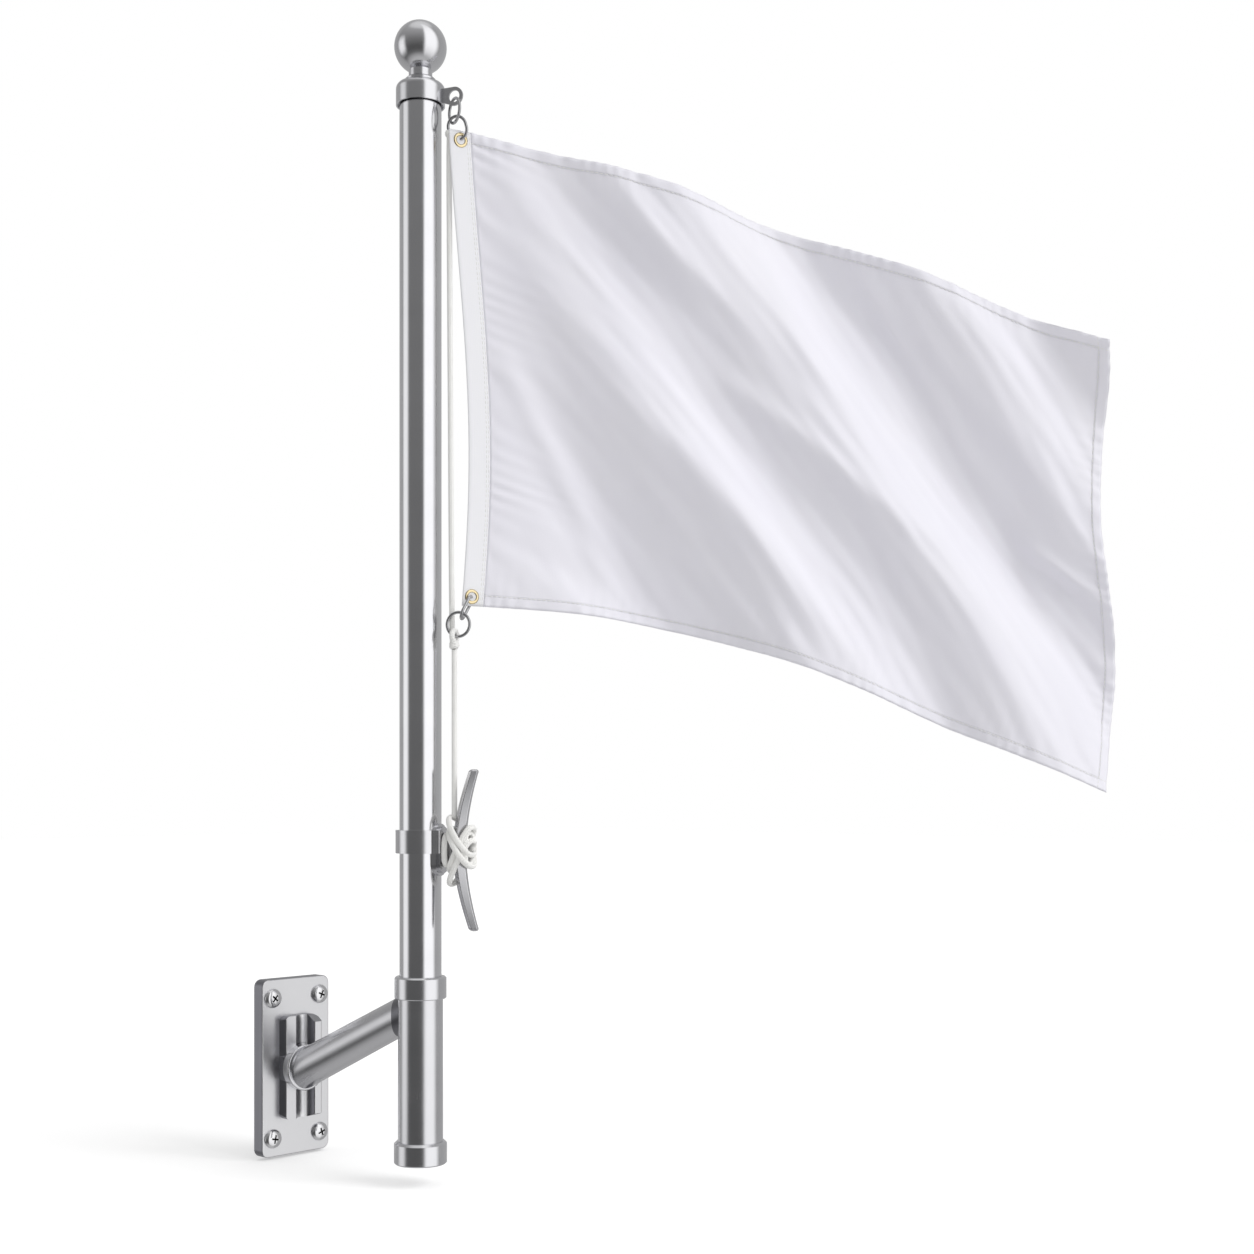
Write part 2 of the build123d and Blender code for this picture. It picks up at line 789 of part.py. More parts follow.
# Hitch: a turn round the foot, two leaning turns and two more over them the other way
under_across = horn_hub_depth + rope_diameter + hitch_play * 2
over_across = under_across + (rope_diameter + turn_gap) * 2
with BuildPart() as cleat_hitch:
    add(rope_turn(
        (hitch_foot_out, cleat_height - foot_turn_reach),
        (hitch_foot_out, cleat_height + foot_turn_reach),
        foot_width + rope_diameter + hitch_play * 2,
    ))
    for height in under_heights:
        add(rope_turn(
            (hitch_inner_out, height), (hitch_outer_out, height + under_rise), under_across
        ))
    for height in over_heights:
        add(rope_turn(
            (hitch_inner_out, height), (hitch_outer_out, height - over_drop), over_across
        ))
save(cleat_hitch.part, "cleat_hitch")


def header_edge(share):
    """Where the header's free edge stands, along the header, at a share of the way down."""
    line = header_start_top + (header_start_bottom - header_start_top) * share
    return line + header_bow * math.sin(math.pi * share ** header_bow_drop)


edge_shares = [step / 8 for step in range(9)]
with BuildPart() as flag_header:
    with BuildSketch(header_side):
        with BuildLine():
            free_edge = Spline([
                (header_edge(share), header_top - (header_height - header_heel) * share)
                for share in edge_shares
            ])
            seam = Spline([
                (header_edge(share) + header_width, header_top - header_height * share)
                for share in edge_shares
            ])
            Line(free_edge @ 0, seam @ 0)
            Line(free_edge @ 1, seam @ 1)
        make_face()
        with Locations(
            (top_grommet_along, top_grommet_height), (bottom_grommet_along, bottom_grommet_height)
        ):
            Circle(grommet_hole / 2 + grommet_wall, mode=Mode.SUBTRACT)
    extrude(amount=header_thickness / 2, both=True)
save(flag_header.part, "flag_header")


def fold(along, share):
    """How far the cloth stands off its middle plane: slanting folds on a broad billow."""
    grow = min(1, along * 4) ** 2 * (3 - 2 * min(1, along * 4))
    slant = fold_height * math.sin(2 * math.pi * (1.6 * share - 2.5 * along) - 0.3)
    billow = billow_height * math.sin(2 * math.pi * (0.6 * share - 0.9 * along) + 1.8)
    return grow * (slant + billow)


def panel_point(along, share):
    """Point of the cloth at a share of its reach from the seam and a share of the way down."""
    seam_point = header_side.from_local_coords(
        (header_edge(share) + header_width, header_top - header_height * share, 0)
    )
    arch = panel_top_arch * (1 - share) + panel_bottom_arch * share
    sway = panel_bottom_sway * share * math.sin(2 * math.pi * along)
    drop = panel_droop * along - arch * math.sin(math.pi * along) - sway
    reach = panel_reach * along + fly_wave * along ** 2 * math.sin(3 * math.pi * share + 0.7)
    off = toward(flag_angle - 90) * fold(along, share)
    return seam_point + toward(flag_angle) * reach + off - Vector(0, 0, drop)


panel_rows = []
for row in range(9):
    share = row / 8
    tucked = panel_point(0, share) - toward(header_angle) * header_tuck
    panel_rows.append([tucked] + [panel_point(column / 16, share) for column in range(17)])
panel_face = Face.make_surface_from_array_of_points(panel_rows, tol=0.05)
with BuildPart() as flag_panel:
    thicken(panel_face, amount=panel_thickness / 2, both=True)
save(flag_panel.part, "flag_panel")

# Grommets: brass eyelets with a flange on each face of the header
for name, centre in (("grommet_top", top_grommet), ("grommet_bottom", bottom_grommet)):
    half_sheet = header_thickness / 2
    flange_face = half_sheet + grommet_flange
    with BuildPart() as grommet:
        with BuildSketch(Plane(origin=centre, x_dir=toward(header_angle), z_dir=(0, 0, 1))) as section:
            with BuildLine():
                Polyline(
                    (grommet_hole / 2, -flange_face),
                    (grommet_outer / 2, -flange_face),
                    (grommet_outer / 2, -half_sheet),
                    (grommet_hole / 2 + grommet_wall, -half_sheet),
                    (grommet_hole / 2 + grommet_wall, half_sheet),
                    (grommet_outer / 2, half_sheet),
                    (grommet_outer / 2, flange_face),
                    (grommet_hole / 2, flange_face),
                    close=True,
                )
            make_face()
        revolve(axis=Axis(centre, header_side.z_dir))
    save(grommet.part, name)
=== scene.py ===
import math

import bmesh
import bpy
from bpy.props import FloatProperty, FloatVectorProperty, IntProperty, PointerProperty
from mathutils import Matrix, Vector, noise


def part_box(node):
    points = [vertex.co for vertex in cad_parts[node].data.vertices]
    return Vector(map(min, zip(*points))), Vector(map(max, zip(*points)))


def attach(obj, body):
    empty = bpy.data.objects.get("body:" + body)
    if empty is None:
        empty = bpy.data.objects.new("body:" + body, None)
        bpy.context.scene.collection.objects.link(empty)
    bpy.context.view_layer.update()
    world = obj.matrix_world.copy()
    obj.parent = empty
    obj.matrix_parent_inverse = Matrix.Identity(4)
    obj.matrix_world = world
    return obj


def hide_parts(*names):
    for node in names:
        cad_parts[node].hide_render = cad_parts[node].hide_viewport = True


bl_info = {
    "name": "Wall flagpole",
    "version": (1, 0, 0),
    "blender": (4, 5, 0),
    "location": "View3D > Sidebar > Flagpole",
    "description": "Dresses a wall flagpole: steel finishes, screws, braided halyard and flag",
    "category": "Object",
}

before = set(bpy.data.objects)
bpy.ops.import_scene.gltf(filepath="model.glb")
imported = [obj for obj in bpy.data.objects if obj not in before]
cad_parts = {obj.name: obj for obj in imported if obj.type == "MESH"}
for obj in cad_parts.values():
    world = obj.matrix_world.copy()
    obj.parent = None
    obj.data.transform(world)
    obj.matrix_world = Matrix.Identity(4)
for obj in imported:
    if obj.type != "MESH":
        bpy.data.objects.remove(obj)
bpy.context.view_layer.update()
MM = 0.001


def place(node):
    """Middle of a piece of the frame, in metres."""
    low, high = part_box(node)
    return (Vector(low) + Vector(high)) / 2


def toward(angle):
    """Level direction at an angle in plan, in degrees."""
    return Vector((math.cos(math.radians(angle)), math.sin(math.radians(angle)), 0))


def upright(height):
    """Upright step, in metres."""
    return Vector((0, 0, height))


def colour(hexa):
    """Linear colour from an sRGB hex value."""
    parts = [int(hexa[i:i + 2], 16) / 255 for i in (1, 3, 5)]
    return tuple(p / 12.92 if p <= 0.04045 else ((p + 0.055) / 1.055) ** 2.4 for p in parts) + (1,)


POLE = Vector((place("pole_tube").x, place("pole_tube").y, 0))
ROPE_LINE = Vector((place("halyard_lower").x, place("halyard_lower").y, 0))

# Directions in plan, in degrees
HALYARD_ANGLE = -69.0
HEADER_ANGLE = -20.0
FLAG_ANGLE = -38.6
UPPER_LINK_ANGLE = -65.0

# Wall screws: their distances from the plate's middle, and for each the side, up or down, and the
# turn of its cross in degrees
SCREW_ACROSS = 18.5 * MM
SCREW_UP = 45.5 * MM
SCREWS = ((-1, -1, 12), (-1, 1, 40), (1, -1, 71), (1, 1, 23))
SHANK_LENGTH = 8.0 * MM

# Halyard, in mm: how far it runs behind the header's plane and drifts toward the pole, the length
# of its bends, and the start of the lower one below the lower ring's middle
BEHIND, DRIFT, BEND, RING_GAP = 4.0, 2.0, 24, 5.0
# Knot on the upper link, in mm: the link's slope as rise and run, and the knot from its middle
LINK_RISE, LINK_RUN, KNOT_BESIDE, KNOT_BELOW = 13.06, 3.8, 5.8, 1.6
# Knot at the lower ring, in mm: its middle above its foot, and the loop through the ring
KNOT_FOOT, LOOP_DROP, LOOP_RADIUS, LOOP_ANGLE, COIL_TURNS = 2.5, 4.9, 3.15, 20.0, 1.8

# Hitch on the cleat, in mm. The ends of a turn are given out from the pole's axis and up, its width
# across the cleat in its middle and at its ends.
CLEAT_HEIGHT = 144.4
FOOT_OUT, FOOT_UP, FOOT_WIDE = 19.5, 9.55, 12.1
TURN_INNER, TURN_OUTER, TURN_START = 21.2, 35.2, 12.85
UNDER_RISE, UNDER_PITCH, UNDER_WIDE = 26.7, 7.9, (13.4, 11.6)
OVER_DROP, OVER_PITCH, OVER_WIDE = 22.8, 7.0, (19.6, 12.4)
ROOT_OUT, ROOT_DOWN, ROOT_UP, ROOT_WIDE = 32.7, 8.4, 10.2, 9.8

# Camera, fitted to the edges of the plate, socket and pole in the photo
CAMERA_PLACE = (-0.7023, -0.9716, 0.1807)
CAMERA_TURN = -46.6
CAMERA_LENS = 51.33
CAMERA_SHIFT = 0.1297


# Sizes and colours that a user would change

class FlagpoleRope(bpy.types.PropertyGroup):
    diameter: FloatProperty(
        name="Rope diameter", description="Outside diameter of the braided cord",
        default=3.5 * MM, unit="LENGTH")
    lay: FloatProperty(
        name="Lay length", description="Length of cord in which a strand goes once round",
        default=12.5 * MM, unit="LENGTH")
    strands: IntProperty(
        name="Strands each way", description="Strands that wind each way round the cord",
        default=8, min=3, max=12)
    step: FloatProperty(
        name="Strand step", description="Length of one step along a strand",
        default=0.5 * MM, unit="LENGTH")
    flatten: FloatProperty(
        name="Flattening", description="Share by which a turn pulled tight is wider than round",
        default=0.16)
    fibre: FloatVectorProperty(
        name="Fibre colour", description="Colour of clean fibre",
        default=colour("#FAFAF8"), size=4, subtype="COLOR")
    dust: FloatVectorProperty(
        name="Dust colour", description="Colour where dust lies between the strands",
        default=colour("#EFEEEB"), size=4, subtype="COLOR")


class FlagpoleCloth(bpy.types.PropertyGroup):
    thickness: FloatProperty(
        name="Cloth thickness", description="Thickness of the woven cloth",
        default=0.36 * MM, unit="LENGTH")
    hem: FloatProperty(
        name="Hem width", description="Width of the turned hem",
        default=6.6 * MM, unit="LENGTH")
    stitch: FloatProperty(
        name="Stitch length", description="Length of one lockstitch",
        default=2.3 * MM, unit="LENGTH")
    columns: IntProperty(
        name="Columns", description="Steps of the cloth from seam to fly", default=240, min=20)
    rows: IntProperty(
        name="Rows", description="Steps of the cloth from top to bottom", default=168, min=20)
    bright: FloatVectorProperty(
        name="Cloth colour", description="Colour of the flag's cloth",
        default=colour("#FAF9FE"), size=4, subtype="COLOR")
    shade: FloatVectorProperty(
        name="Cloth shade", description="Colour that the flag's cloth drifts to in patches",
        default=colour("#F4F3FB"), size=4, subtype="COLOR")


class FlagpoleScrew(bpy.types.PropertyGroup):
    head: FloatProperty(
        name="Head diameter", description="Diameter of a pan head",
        default=12.4 * MM, unit="LENGTH")
    height: FloatProperty(
        name="Head height", description="Height of a pan head", default=4.0 * MM, unit="LENGTH")
    recess: FloatProperty(
        name="Recess width", description="Span of the cross recess",
        default=6.4 * MM, unit="LENGTH")


class FlagpoleStudio(bpy.types.PropertyGroup):
    floor: FloatProperty(
        name="Floor height", description="Height of the floor from the plate's middle",
        default=-0.0592, unit="LENGTH")
    key: FloatProperty(
        name="Key lamp", description="Strength of the large soft lamp", default=1.6)
    fill: FloatProperty(
        name="Fill", description="Strength of the even light all round", default=0.64)


GROUPS = (
    ("flagpole_rope", FlagpoleRope), ("flagpole_cloth", FlagpoleCloth),
    ("flagpole_screw", FlagpoleScrew), ("flagpole_studio", FlagpoleStudio),
)


# Small helpers

def ease(x):
    """Smooth step from 0 to 1."""
    x = min(1.0, max(0.0, x))
    return x * x * (3 - 2 * x)


def only(obj):
    """Makes one object the only selected and the active one."""
    bpy.ops.object.select_all(action="DESELECT")
    obj.select_set(True)
    bpy.context.view_layer.objects.active = obj


def apply_all(obj):
    """Applies every modifier of a piece."""
    only(obj)
    for modifier in list(obj.modifiers):
        bpy.ops.object.modifier_apply(modifier=modifier.name)


def settle(obj):
    """Puts the piece's place, turn and scale into its mesh."""
    only(obj)
    bpy.ops.object.transform_apply(location=True, rotation=True, scale=True)


def from_mesh(name, points, faces):
    """A new smooth object from points and faces."""
    mesh = bpy.data.meshes.new(name)
    mesh.from_pydata([tuple(p) for p in points], [], faces)
    mesh.update()
    for polygon in mesh.polygons:
        polygon.use_smooth = True
    obj = bpy.data.objects.new(name, mesh)
    bpy.context.collection.objects.link(obj)
    return obj


def dress(obj, body, finish):
    """Gives a finished piece its body, slot and finish."""
    obj.data.materials.clear()
    obj.data.materials.append(finish)
    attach(obj, body)
    return obj


# Materials

def add(tree, kind, **values):
    """Adds a shader node with its settings and links.

    A small name is a setting, or the stops of a colour ramp. A capital name, or i and a number,
    is an input: a node, or a node and its output, is linked to it, and all else is its value."""
    node = tree.nodes.new("ShaderNode" + kind)
    for key, value in values.items():
        numbered = key[0] == "i" and key[1:].isdigit()
        if key == "stops":
            elements = node.color_ramp.elements
            while len(elements) < len(value):
                elements.new(1.0)
            for element, (position, *shade) in zip(elements, value):
                element.position = position
                element.color = (*shade, 1.0)
        elif key[0].islower() and not numbered:
            setattr(node, key, value)
        else:
            socket = node.inputs[int(key[1:]) if numbered else key.replace("_", " ")]
            if isinstance(value, tuple) and hasattr(value[0], "outputs"):
                tree.links.new(value[0].outputs[value[1]], socket)
            elif hasattr(value, "outputs"):
                tree.links.new(value.outputs[0], socket)
            else:
                socket.default_value = value
    return node


def material(name):
    """A new node material and its tree, with an empty surface."""
    made = bpy.data.materials.new(name)
    made.use_nodes = True
    made.node_tree.nodes.clear()
    return made, made.node_tree


def steel(
        name, hexa, roughness, spread, grain, stretch, depth, cloud=0.06, sides=None, rolled=None):
    """Metal with a fine directional or even grain; spread is how much its roughness varies.

    grain and depth are the size and depth of its marks in mm, stretch how much longer they are
    along X, Y and Z, and cloud how far its colour drifts; sides is a darker colour painted on the
    faces turned away from the front, a painted shade; rolled is an eyelet's middle, the radius of
    its crest and half the width of its roll, in metres."""
    made, tree = material(name)
    coords = add(tree, "TexCoord")
    scale = [1000 / (grain * s) for s in stretch]
    mapped = add(tree, "Mapping", Vector=(coords, "Object"), Scale=scale)
    marks = add(tree, "TexNoise", Vector=mapped, Scale=1.0, Detail=3.0, Roughness=0.6)
    # Patches about 24 mm across drift in tone and gloss.
    patches = add(
        tree, "TexNoise", Vector=(coords, "Object"), Scale=42.0, Detail=4.0, Roughness=0.55)
    both = add(tree, "Mix", data_type="FLOAT", Factor=0.45, A=(marks, "Fac"), B=(patches, "Fac"))
    rough = add(
        tree, "MapRange", Value=both,
        From_Min=0.3, From_Max=0.7, To_Min=roughness - spread, To_Max=roughness + spread)
    base = colour(hexa)
    dull = tuple(c * (1 - cloud * 2) for c in base[:3]) + (1,)
    tint = add(tree, "Mix", data_type="RGBA", Factor=(patches, "Fac"), i6=dull, i7=base)
    if sides:
        shape = add(tree, "NewGeometry")
        facing = add(tree, "SeparateXYZ", Vector=(shape, "Normal"))
        # Painted shade: faces toward -Y are ground bright, the rest fade to the darker sides
        # colour.
        ground = add(
            tree, "MapRange", interpolation_type="SMOOTHSTEP",
            Value=(facing, "Y"), From_Min=-0.35, From_Max=-0.8)
        tint = add(
            tree, "Mix", data_type="RGBA", Factor=(ground, 0), i6=colour(sides), i7=(tint, 2))
    bump = add(tree, "Bump", Strength=0.35, Distance=depth * MM, Height=(marks, "Fac"))
    if rolled:
        middle, crest, half_width = rolled
        away = add(tree, "VectorMath", operation="DISTANCE", i0=(coords, "Object"), i1=middle)
        offset = add(tree, "Math", operation="SUBTRACT", i0=(away, "Value"), i1=crest)
        share = add(tree, "Math", operation="DIVIDE", i0=offset, i1=half_width)
        square = add(tree, "Math", operation="MULTIPLY", i0=share, i1=share)
        fall = add(tree, "Math", operation="SUBTRACT", use_clamp=True, i0=1.0, i1=square)
        # A power between a half and one rounds the roll over without a sharp crest.
        round_roll = add(tree, "Math", operation="POWER", i0=fall, i1=0.6)
        bump = add(tree, "Bump", Strength=1.0, Distance=0.55 * MM, Height=round_roll, Normal=bump)
    shader = add(
        tree, "BsdfPrincipled", Metallic=1.0,
        Base_Color=(tint, 2), Roughness=(rough, 0), Normal=bump)
    add(tree, "OutputMaterial", Surface=shader)
    return made


# What shines sees the studio round it as three shares: a tall soft panel to the right of the
# camera (red), a lower one to its left (green) and the room behind them (blue).
# The first list goes round the compass from -X by way of -Y, the second from straight down to up;
# a row is the place on the way and the three shares there.
STUDIO_ROUND = (
    (0, 0, 0, 0), (0.14, 0, 0, 0), (0.175, 0.16, 0, 0), (0.205, 1, 0, 0), (0.335, 1, 0, 0.1),
    (0.375, 0.46, 0, 0.34), (0.41, 0, 0, 0.44), (0.62, 0, 0, 0.5), (0.8, 0, 0, 0.4),
    (0.83, 0, 0.5, 0.3), (0.86, 0, 1, 0.1), (0.918, 0, 1, 0), (0.96, 0, 0.12, 0), (0.99, 0, 0, 0),
)
STUDIO_HIGH = (
    (0, 0.3, 0, 0.6), (0.07, 0.36, 0, 0.54), (0.13, 0.5, 0, 0.38), (0.2, 0.7, 0.02, 0.16),
    (0.3, 0.84, 0.3, 0.1), (0.4, 0.94, 0.76, 0.1), (0.52, 1, 0.86, 0.15), (0.66, 1, 0.76, 0.21),
    (0.76, 1, 0.4, 0.28), (0.84, 1, 0.06, 0.34), (0.93, 0.96, 0, 0.42), (0.965, 0.86, 0, 0.72),
    (1, 0.8, 0, 0.8),
)
PANEL_LEVEL = 1.32
WHITE = (1, 1, 1, 1)


def world_light(fill):
    """Even light for the surfaces, and soft panels of a studio for what shines."""
    world = bpy.data.worlds.new("studio")
    bpy.context.scene.world = world
    world.use_nodes = True
    tree = world.node_tree
    tree.nodes.clear()
    coords = add(tree, "TexCoord")
    parts = add(tree, "SeparateXYZ", Vector=(coords, "Generated"))
    turn = add(tree, "Math", operation="ARCTAN2", i0=(parts, "Y"), i1=(parts, "X"))
    compass = add(tree, "MapRange", Value=turn, From_Min=-math.pi, From_Max=math.pi)
    height = add(tree, "MapRange", Value=(parts, "Z"), From_Min=-1.0, From_Max=1.0)
    round_about = add(tree, "ValToRGB", stops=STUDIO_ROUND, Fac=compass)
    up_down = add(tree, "ValToRGB", stops=STUDIO_HIGH, Fac=height)
    panels = add(tree, "VectorMath", operation="MULTIPLY", i0=round_about, i1=up_down)
    panel = add(tree, "SeparateXYZ", Vector=panels)
    back = add(tree, "SeparateXYZ", Vector=round_about)
    room = add(tree, "SeparateXYZ", Vector=up_down)
    front = add(tree, "Math", operation="MAXIMUM", i0=(panel, "X"), i1=(panel, "Y"))
    behind = add(tree, "Math", operation="MAXIMUM", i0=(back, "Z"), i1=(room, "Z"))
    bright = add(tree, "Math", operation="MULTIPLY", i0=front, i1=PANEL_LEVEL)
    level = add(tree, "Math", operation="MAXIMUM", i0=bright, i1=behind)
    path = add(tree, "LightPath")
    soft = add(tree, "Background", Color=WHITE, Strength=fill)
    shiny = add(tree, "Background", Color=WHITE, Strength=level)
    white = add(tree, "Background", Color=WHITE, Strength=1.0)
    first = add(tree, "MixShader", Fac=(path, "Is Glossy Ray"), i1=soft, i2=shiny)
    second = add(tree, "MixShader", Fac=(path, "Is Camera Ray"), i1=first, i2=white)
    add(tree, "OutputWorld", Surface=second)


def metal_finishes():
    """The frame's metal pieces in groups, each with its finish."""
    even = (1, 1, 1)
    # Stainless tube, centreless polished along its length: long soft streaks run up the pole.
    yield ["pole_tube"], steel(
        "polished stainless tube", "#E6E6E9", 0.17, 0.03, 0.5, (1, 1, 60), 0.003)
    # Turned stainless: the same steel with fine rings round the collar and caps.
    turned = [
        "socket_collar", "socket_cap", "top_cap", "finial_neck", "clamp_band", "clamp_ears",
        "arm_ring",
    ]
    yield turned, steel("turned stainless", "#DFDFE2", 0.21, 0.04, 0.35, (40, 40, 1), 0.004)
    # Stainless tube of the socket, satin from its polishing belt: softer streaks than the pole's.
    yield ["socket_tube"], steel(
        "satin stainless tube", "#DCDCDF", 0.24, 0.04, 0.5, (1, 1, 60), 0.004)
    # Stainless tube of the arm, polished along the arm, a little duller from handling.
    yield ["arm_tube"], steel(
        "polished stainless arm", "#D2D2D5", 0.23, 0.04, 0.5, (1, 30, 16), 0.004)
    # Welded joint between arm and socket, brushed by hand: darker and duller than the tubes.
    yield ["arm_saddle"], steel(
        "hand-brushed weld", "#7E7E83", 0.34, 0.08, 0.5, even, 0.02, cloud=0.12)
    # Investment-cast stainless: ground satin faces, and painted shade on the sides that turn away.
    yield ["wall_plate", "bracket_boss"], steel(
        "ground cast stainless with painted side shade", "#E2E2E4", 0.33, 0.05, 0.45, even, 0.008,
        cloud=0.04, sides="#8C8C92")
    # Mirror-polished ball: wide soft reflections with faint handling haze.
    yield ["finial_ball"], steel(
        "polished stainless ball", "#E2E2E5", 0.17, 0.03, 0.6, even, 0.002)
    # Polished cast cleat: bright ridge lines and smooth flanks.
    yield ["cleat"], steel(
        "polished cast stainless", "#DADADD", 0.17, 0.04, 0.5, (1, 1, 6), 0.006)
    # Drawn and welded wire: darker from the die and dull in places.
    yield ["upper_ring", "lower_ring", "upper_link", "lower_link"], steel(
        "drawn stainless wire", "#C4C4C6", 0.2, 0.07, 0.4, even, 0.008, cloud=0.12)
    # Rolled brass eyelets under clear lacquer: pale and warm, their rims rounded over by the bump.
    for node in ("grommet_top", "grommet_bottom"):
        yield [node], steel(
            "rolled brass", "#EBD9AE", 0.2, 0.05, 0.4, even, 0.004,
            rolled=(place(node), 3.55 * MM, 0.98 * MM))


class FLAGPOLE_OT_metal(bpy.types.Operator):
    """Finish the steel and brass pieces of the frame"""
    bl_idname = "flagpole.metal"
    bl_label = "Finish metal"

    def execute(self, context):
        for nodes, finish in metal_finishes():
            for node in nodes:
                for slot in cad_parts[node].material_slots:
                    slot.material = finish
        return {"FINISHED"}


# Wall screws

# Steps up the dome of a pan head: rise as a share of its height, and how much each narrows
DOME = ((0.2, 0.965), (0.18, 0.92), (0.14, 0.85), (0.09, 0.74), (0.04, 0.6), (0.01, 0.4))
RIM_SHARE = 0.34


def pick_faces(obj, way):
    """In edit mode, selects only the faces that look straight up (way 1) or down (way -1)."""
    bpy.ops.mesh.select_all(action="DESELECT")
    mesh = bmesh.from_edit_mesh(obj.data)
    for face in mesh.faces:
        face.select = face.normal.z * way > 0.9
    bmesh.update_edit_mesh(obj.data)


def pan_head(name, settings, finishes):
    """A pan head screw at the origin, its head toward +Z, with a cross recess.

    Its finishes are those of the head and of the recess."""
    radius, height, recess = settings.head / 2, settings.height, settings.recess
    bpy.ops.object.select_all(action="DESELECT")
    rim = height * RIM_SHARE
    bpy.ops.mesh.primitive_cylinder_add(
        vertices=64, radius=radius, depth=rim, location=(0, 0, rim / 2))
    head = bpy.context.object
    head.name = name
    bpy.ops.object.mode_set(mode="EDIT")
    bpy.ops.mesh.select_mode(type="FACE")
    pick_faces(head, 1)
    for rise, shrink in DOME:
        bpy.ops.mesh.extrude_region_move(TRANSFORM_OT_translate={"value": (0, 0, height * rise)})
        bpy.ops.transform.resize(value=(shrink, shrink, 1))
    pick_faces(head, -1)
    bpy.ops.mesh.inset(thickness=radius * 0.56, depth=0)
    bpy.ops.mesh.extrude_region_move(TRANSFORM_OT_translate={"value": (0, 0, -SHANK_LENGTH)})
    bpy.ops.object.mode_set(mode="OBJECT")
    # Two crossed bars, narrower at their feet, cut the recess.
    cutters = []
    for turn in (0, 90):
        bpy.ops.mesh.primitive_cube_add(
            size=1, location=(0, 0, height * 0.86), rotation=(0, 0, math.radians(turn)))
        cutter = bpy.context.object
        cutter.scale = (recess, recess * 0.2, height * 0.95)
        bpy.ops.object.mode_set(mode="EDIT")
        pick_faces(cutter, -1)
        bpy.ops.transform.resize(value=(0.5, 0.7, 1))
        bpy.ops.object.mode_set(mode="OBJECT")
        cutters.append(cutter)
        cut = head.modifiers.new("recess", "BOOLEAN")
        cut.operation = "DIFFERENCE"
        cut.solver = "EXACT"
        cut.object = cutter
    soften = head.modifiers.new("edge", "BEVEL")
    soften.width = 0.12 * MM
    soften.segments = 2
    soften.limit_method = "ANGLE"
    soften.angle_limit = math.radians(40)
    apply_all(head)
    for cutter in cutters:
        bpy.data.objects.remove(cutter, do_unlink=True)
    head.data.materials.clear()
    for finish in finishes:
        head.data.materials.append(finish)
    # The faces of the recess, which take the painted shade, look sideways or lie at its floor.
    for face in head.data.polygons:
        near = math.hypot(face.center.x, face.center.y) < recess * 0.56
        inside = 0.2 * height < face.center.z < 0.9 * height
        if near and inside and (abs(face.normal.z) < 0.6 or face.center.z < 0.6 * height):
            face.material_index = 1
    return head


class FLAGPOLE_OT_screws(bpy.types.Operator):
    """Make the four pan head wall screws"""
    bl_idname = "flagpole.screws"
    bl_label = "Add wall screws"

    def execute(self, context):
        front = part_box("wall_plate")[0][1]
        # Machined and passivated screw heads: brighter than the plate, with painted shade in the
        # recess.
        outside = steel("machined stainless screw", "#E4E4E6", 0.14, 0.04, 0.5, (1, 1, 1), 0.003)
        # Cross recess: painted shade, a near-black finish that stands in for the shade inside it.
        recess = steel(
            "pressed recess with painted shade", "#3A3A3C", 0.5, 0.1, 0.3, (1, 1, 1), 0.01, cloud=0.2)
        model = pan_head("wall_screw_1", context.scene.flagpole_screw, (outside, recess))
        screws = []
        for number, (right, up, turn) in enumerate(SCREWS, 1):
            screw = model
            if number > 1:
                screw = model.copy()
                screw.data = model.data.copy()
                screw.name = f"wall_screw_{number}"
                context.collection.objects.link(screw)
            screw.rotation_euler = (math.radians(90), math.radians(turn), 0)
            screw.location = (right * SCREW_ACROSS, front, up * SCREW_UP)
            screws.append(screw)
        for screw in screws:
            settle(screw)
            bpy.ops.object.shade_smooth_by_angle(angle=math.radians(32))
            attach(screw, "pole")
        return {"FINISHED"}


# Braided cord

def curve_points(name, points, closed=False, order=4):
    """Evenly read points of a smooth spline through a cord's route, in metres."""
    curve = bpy.data.curves.new(name, "CURVE")
    curve.dimensions = "3D"
    curve.resolution_u = 24
    spline = curve.splines.new("NURBS")
    spline.points.add(len(points) - 1)
    for spot, point in zip(spline.points, points):
        spot.co = (*point, 1)
    spline.order_u = order
    spline.use_cyclic_u = closed
    spline.use_endpoint_u = not closed
    obj = bpy.data.objects.new(name, curve)
    bpy.context.collection.objects.link(obj)
    bpy.context.view_layer.update()
    mesh = bpy.data.meshes.new_from_object(obj.evaluated_get(bpy.context.evaluated_depsgraph_get()))
    found = [v.co.copy() for v in mesh.vertices]
    bpy.data.objects.remove(obj, do_unlink=True)
    bpy.data.curves.remove(curve)
    bpy.data.meshes.remove(mesh)
    return found


def resample(points, step, closed=False):
    """Points at even steps along a line, and the whole length."""
    ring = points + points[:1] if closed else points
    lengths = [0.0]
    for a, b in zip(ring, ring[1:]):
        lengths.append(lengths[-1] + (b - a).length)
    total = lengths[-1]
    count = max(4, round(total / step))
    found, at = [], 0
    for i in range(count if closed else count + 1):
        want = total * i / count
        while at < len(lengths) - 2 and lengths[at + 1] < want:
            at += 1
        span = lengths[at + 1] - lengths[at]
        found.append(ring[at].lerp(ring[at + 1], (want - lengths[at]) / span if span else 0))
    return found, total


def directions(points, closed):
    """The way that a line goes at each of its points."""
    count = len(points)
    found = []
    for i in range(count):
        before = points[i - 1] if i or closed else points[0]
        after = points[(i + 1) % count] if i < count - 1 or closed else points[-1]
        found.append((after - before).normalized())
    return found


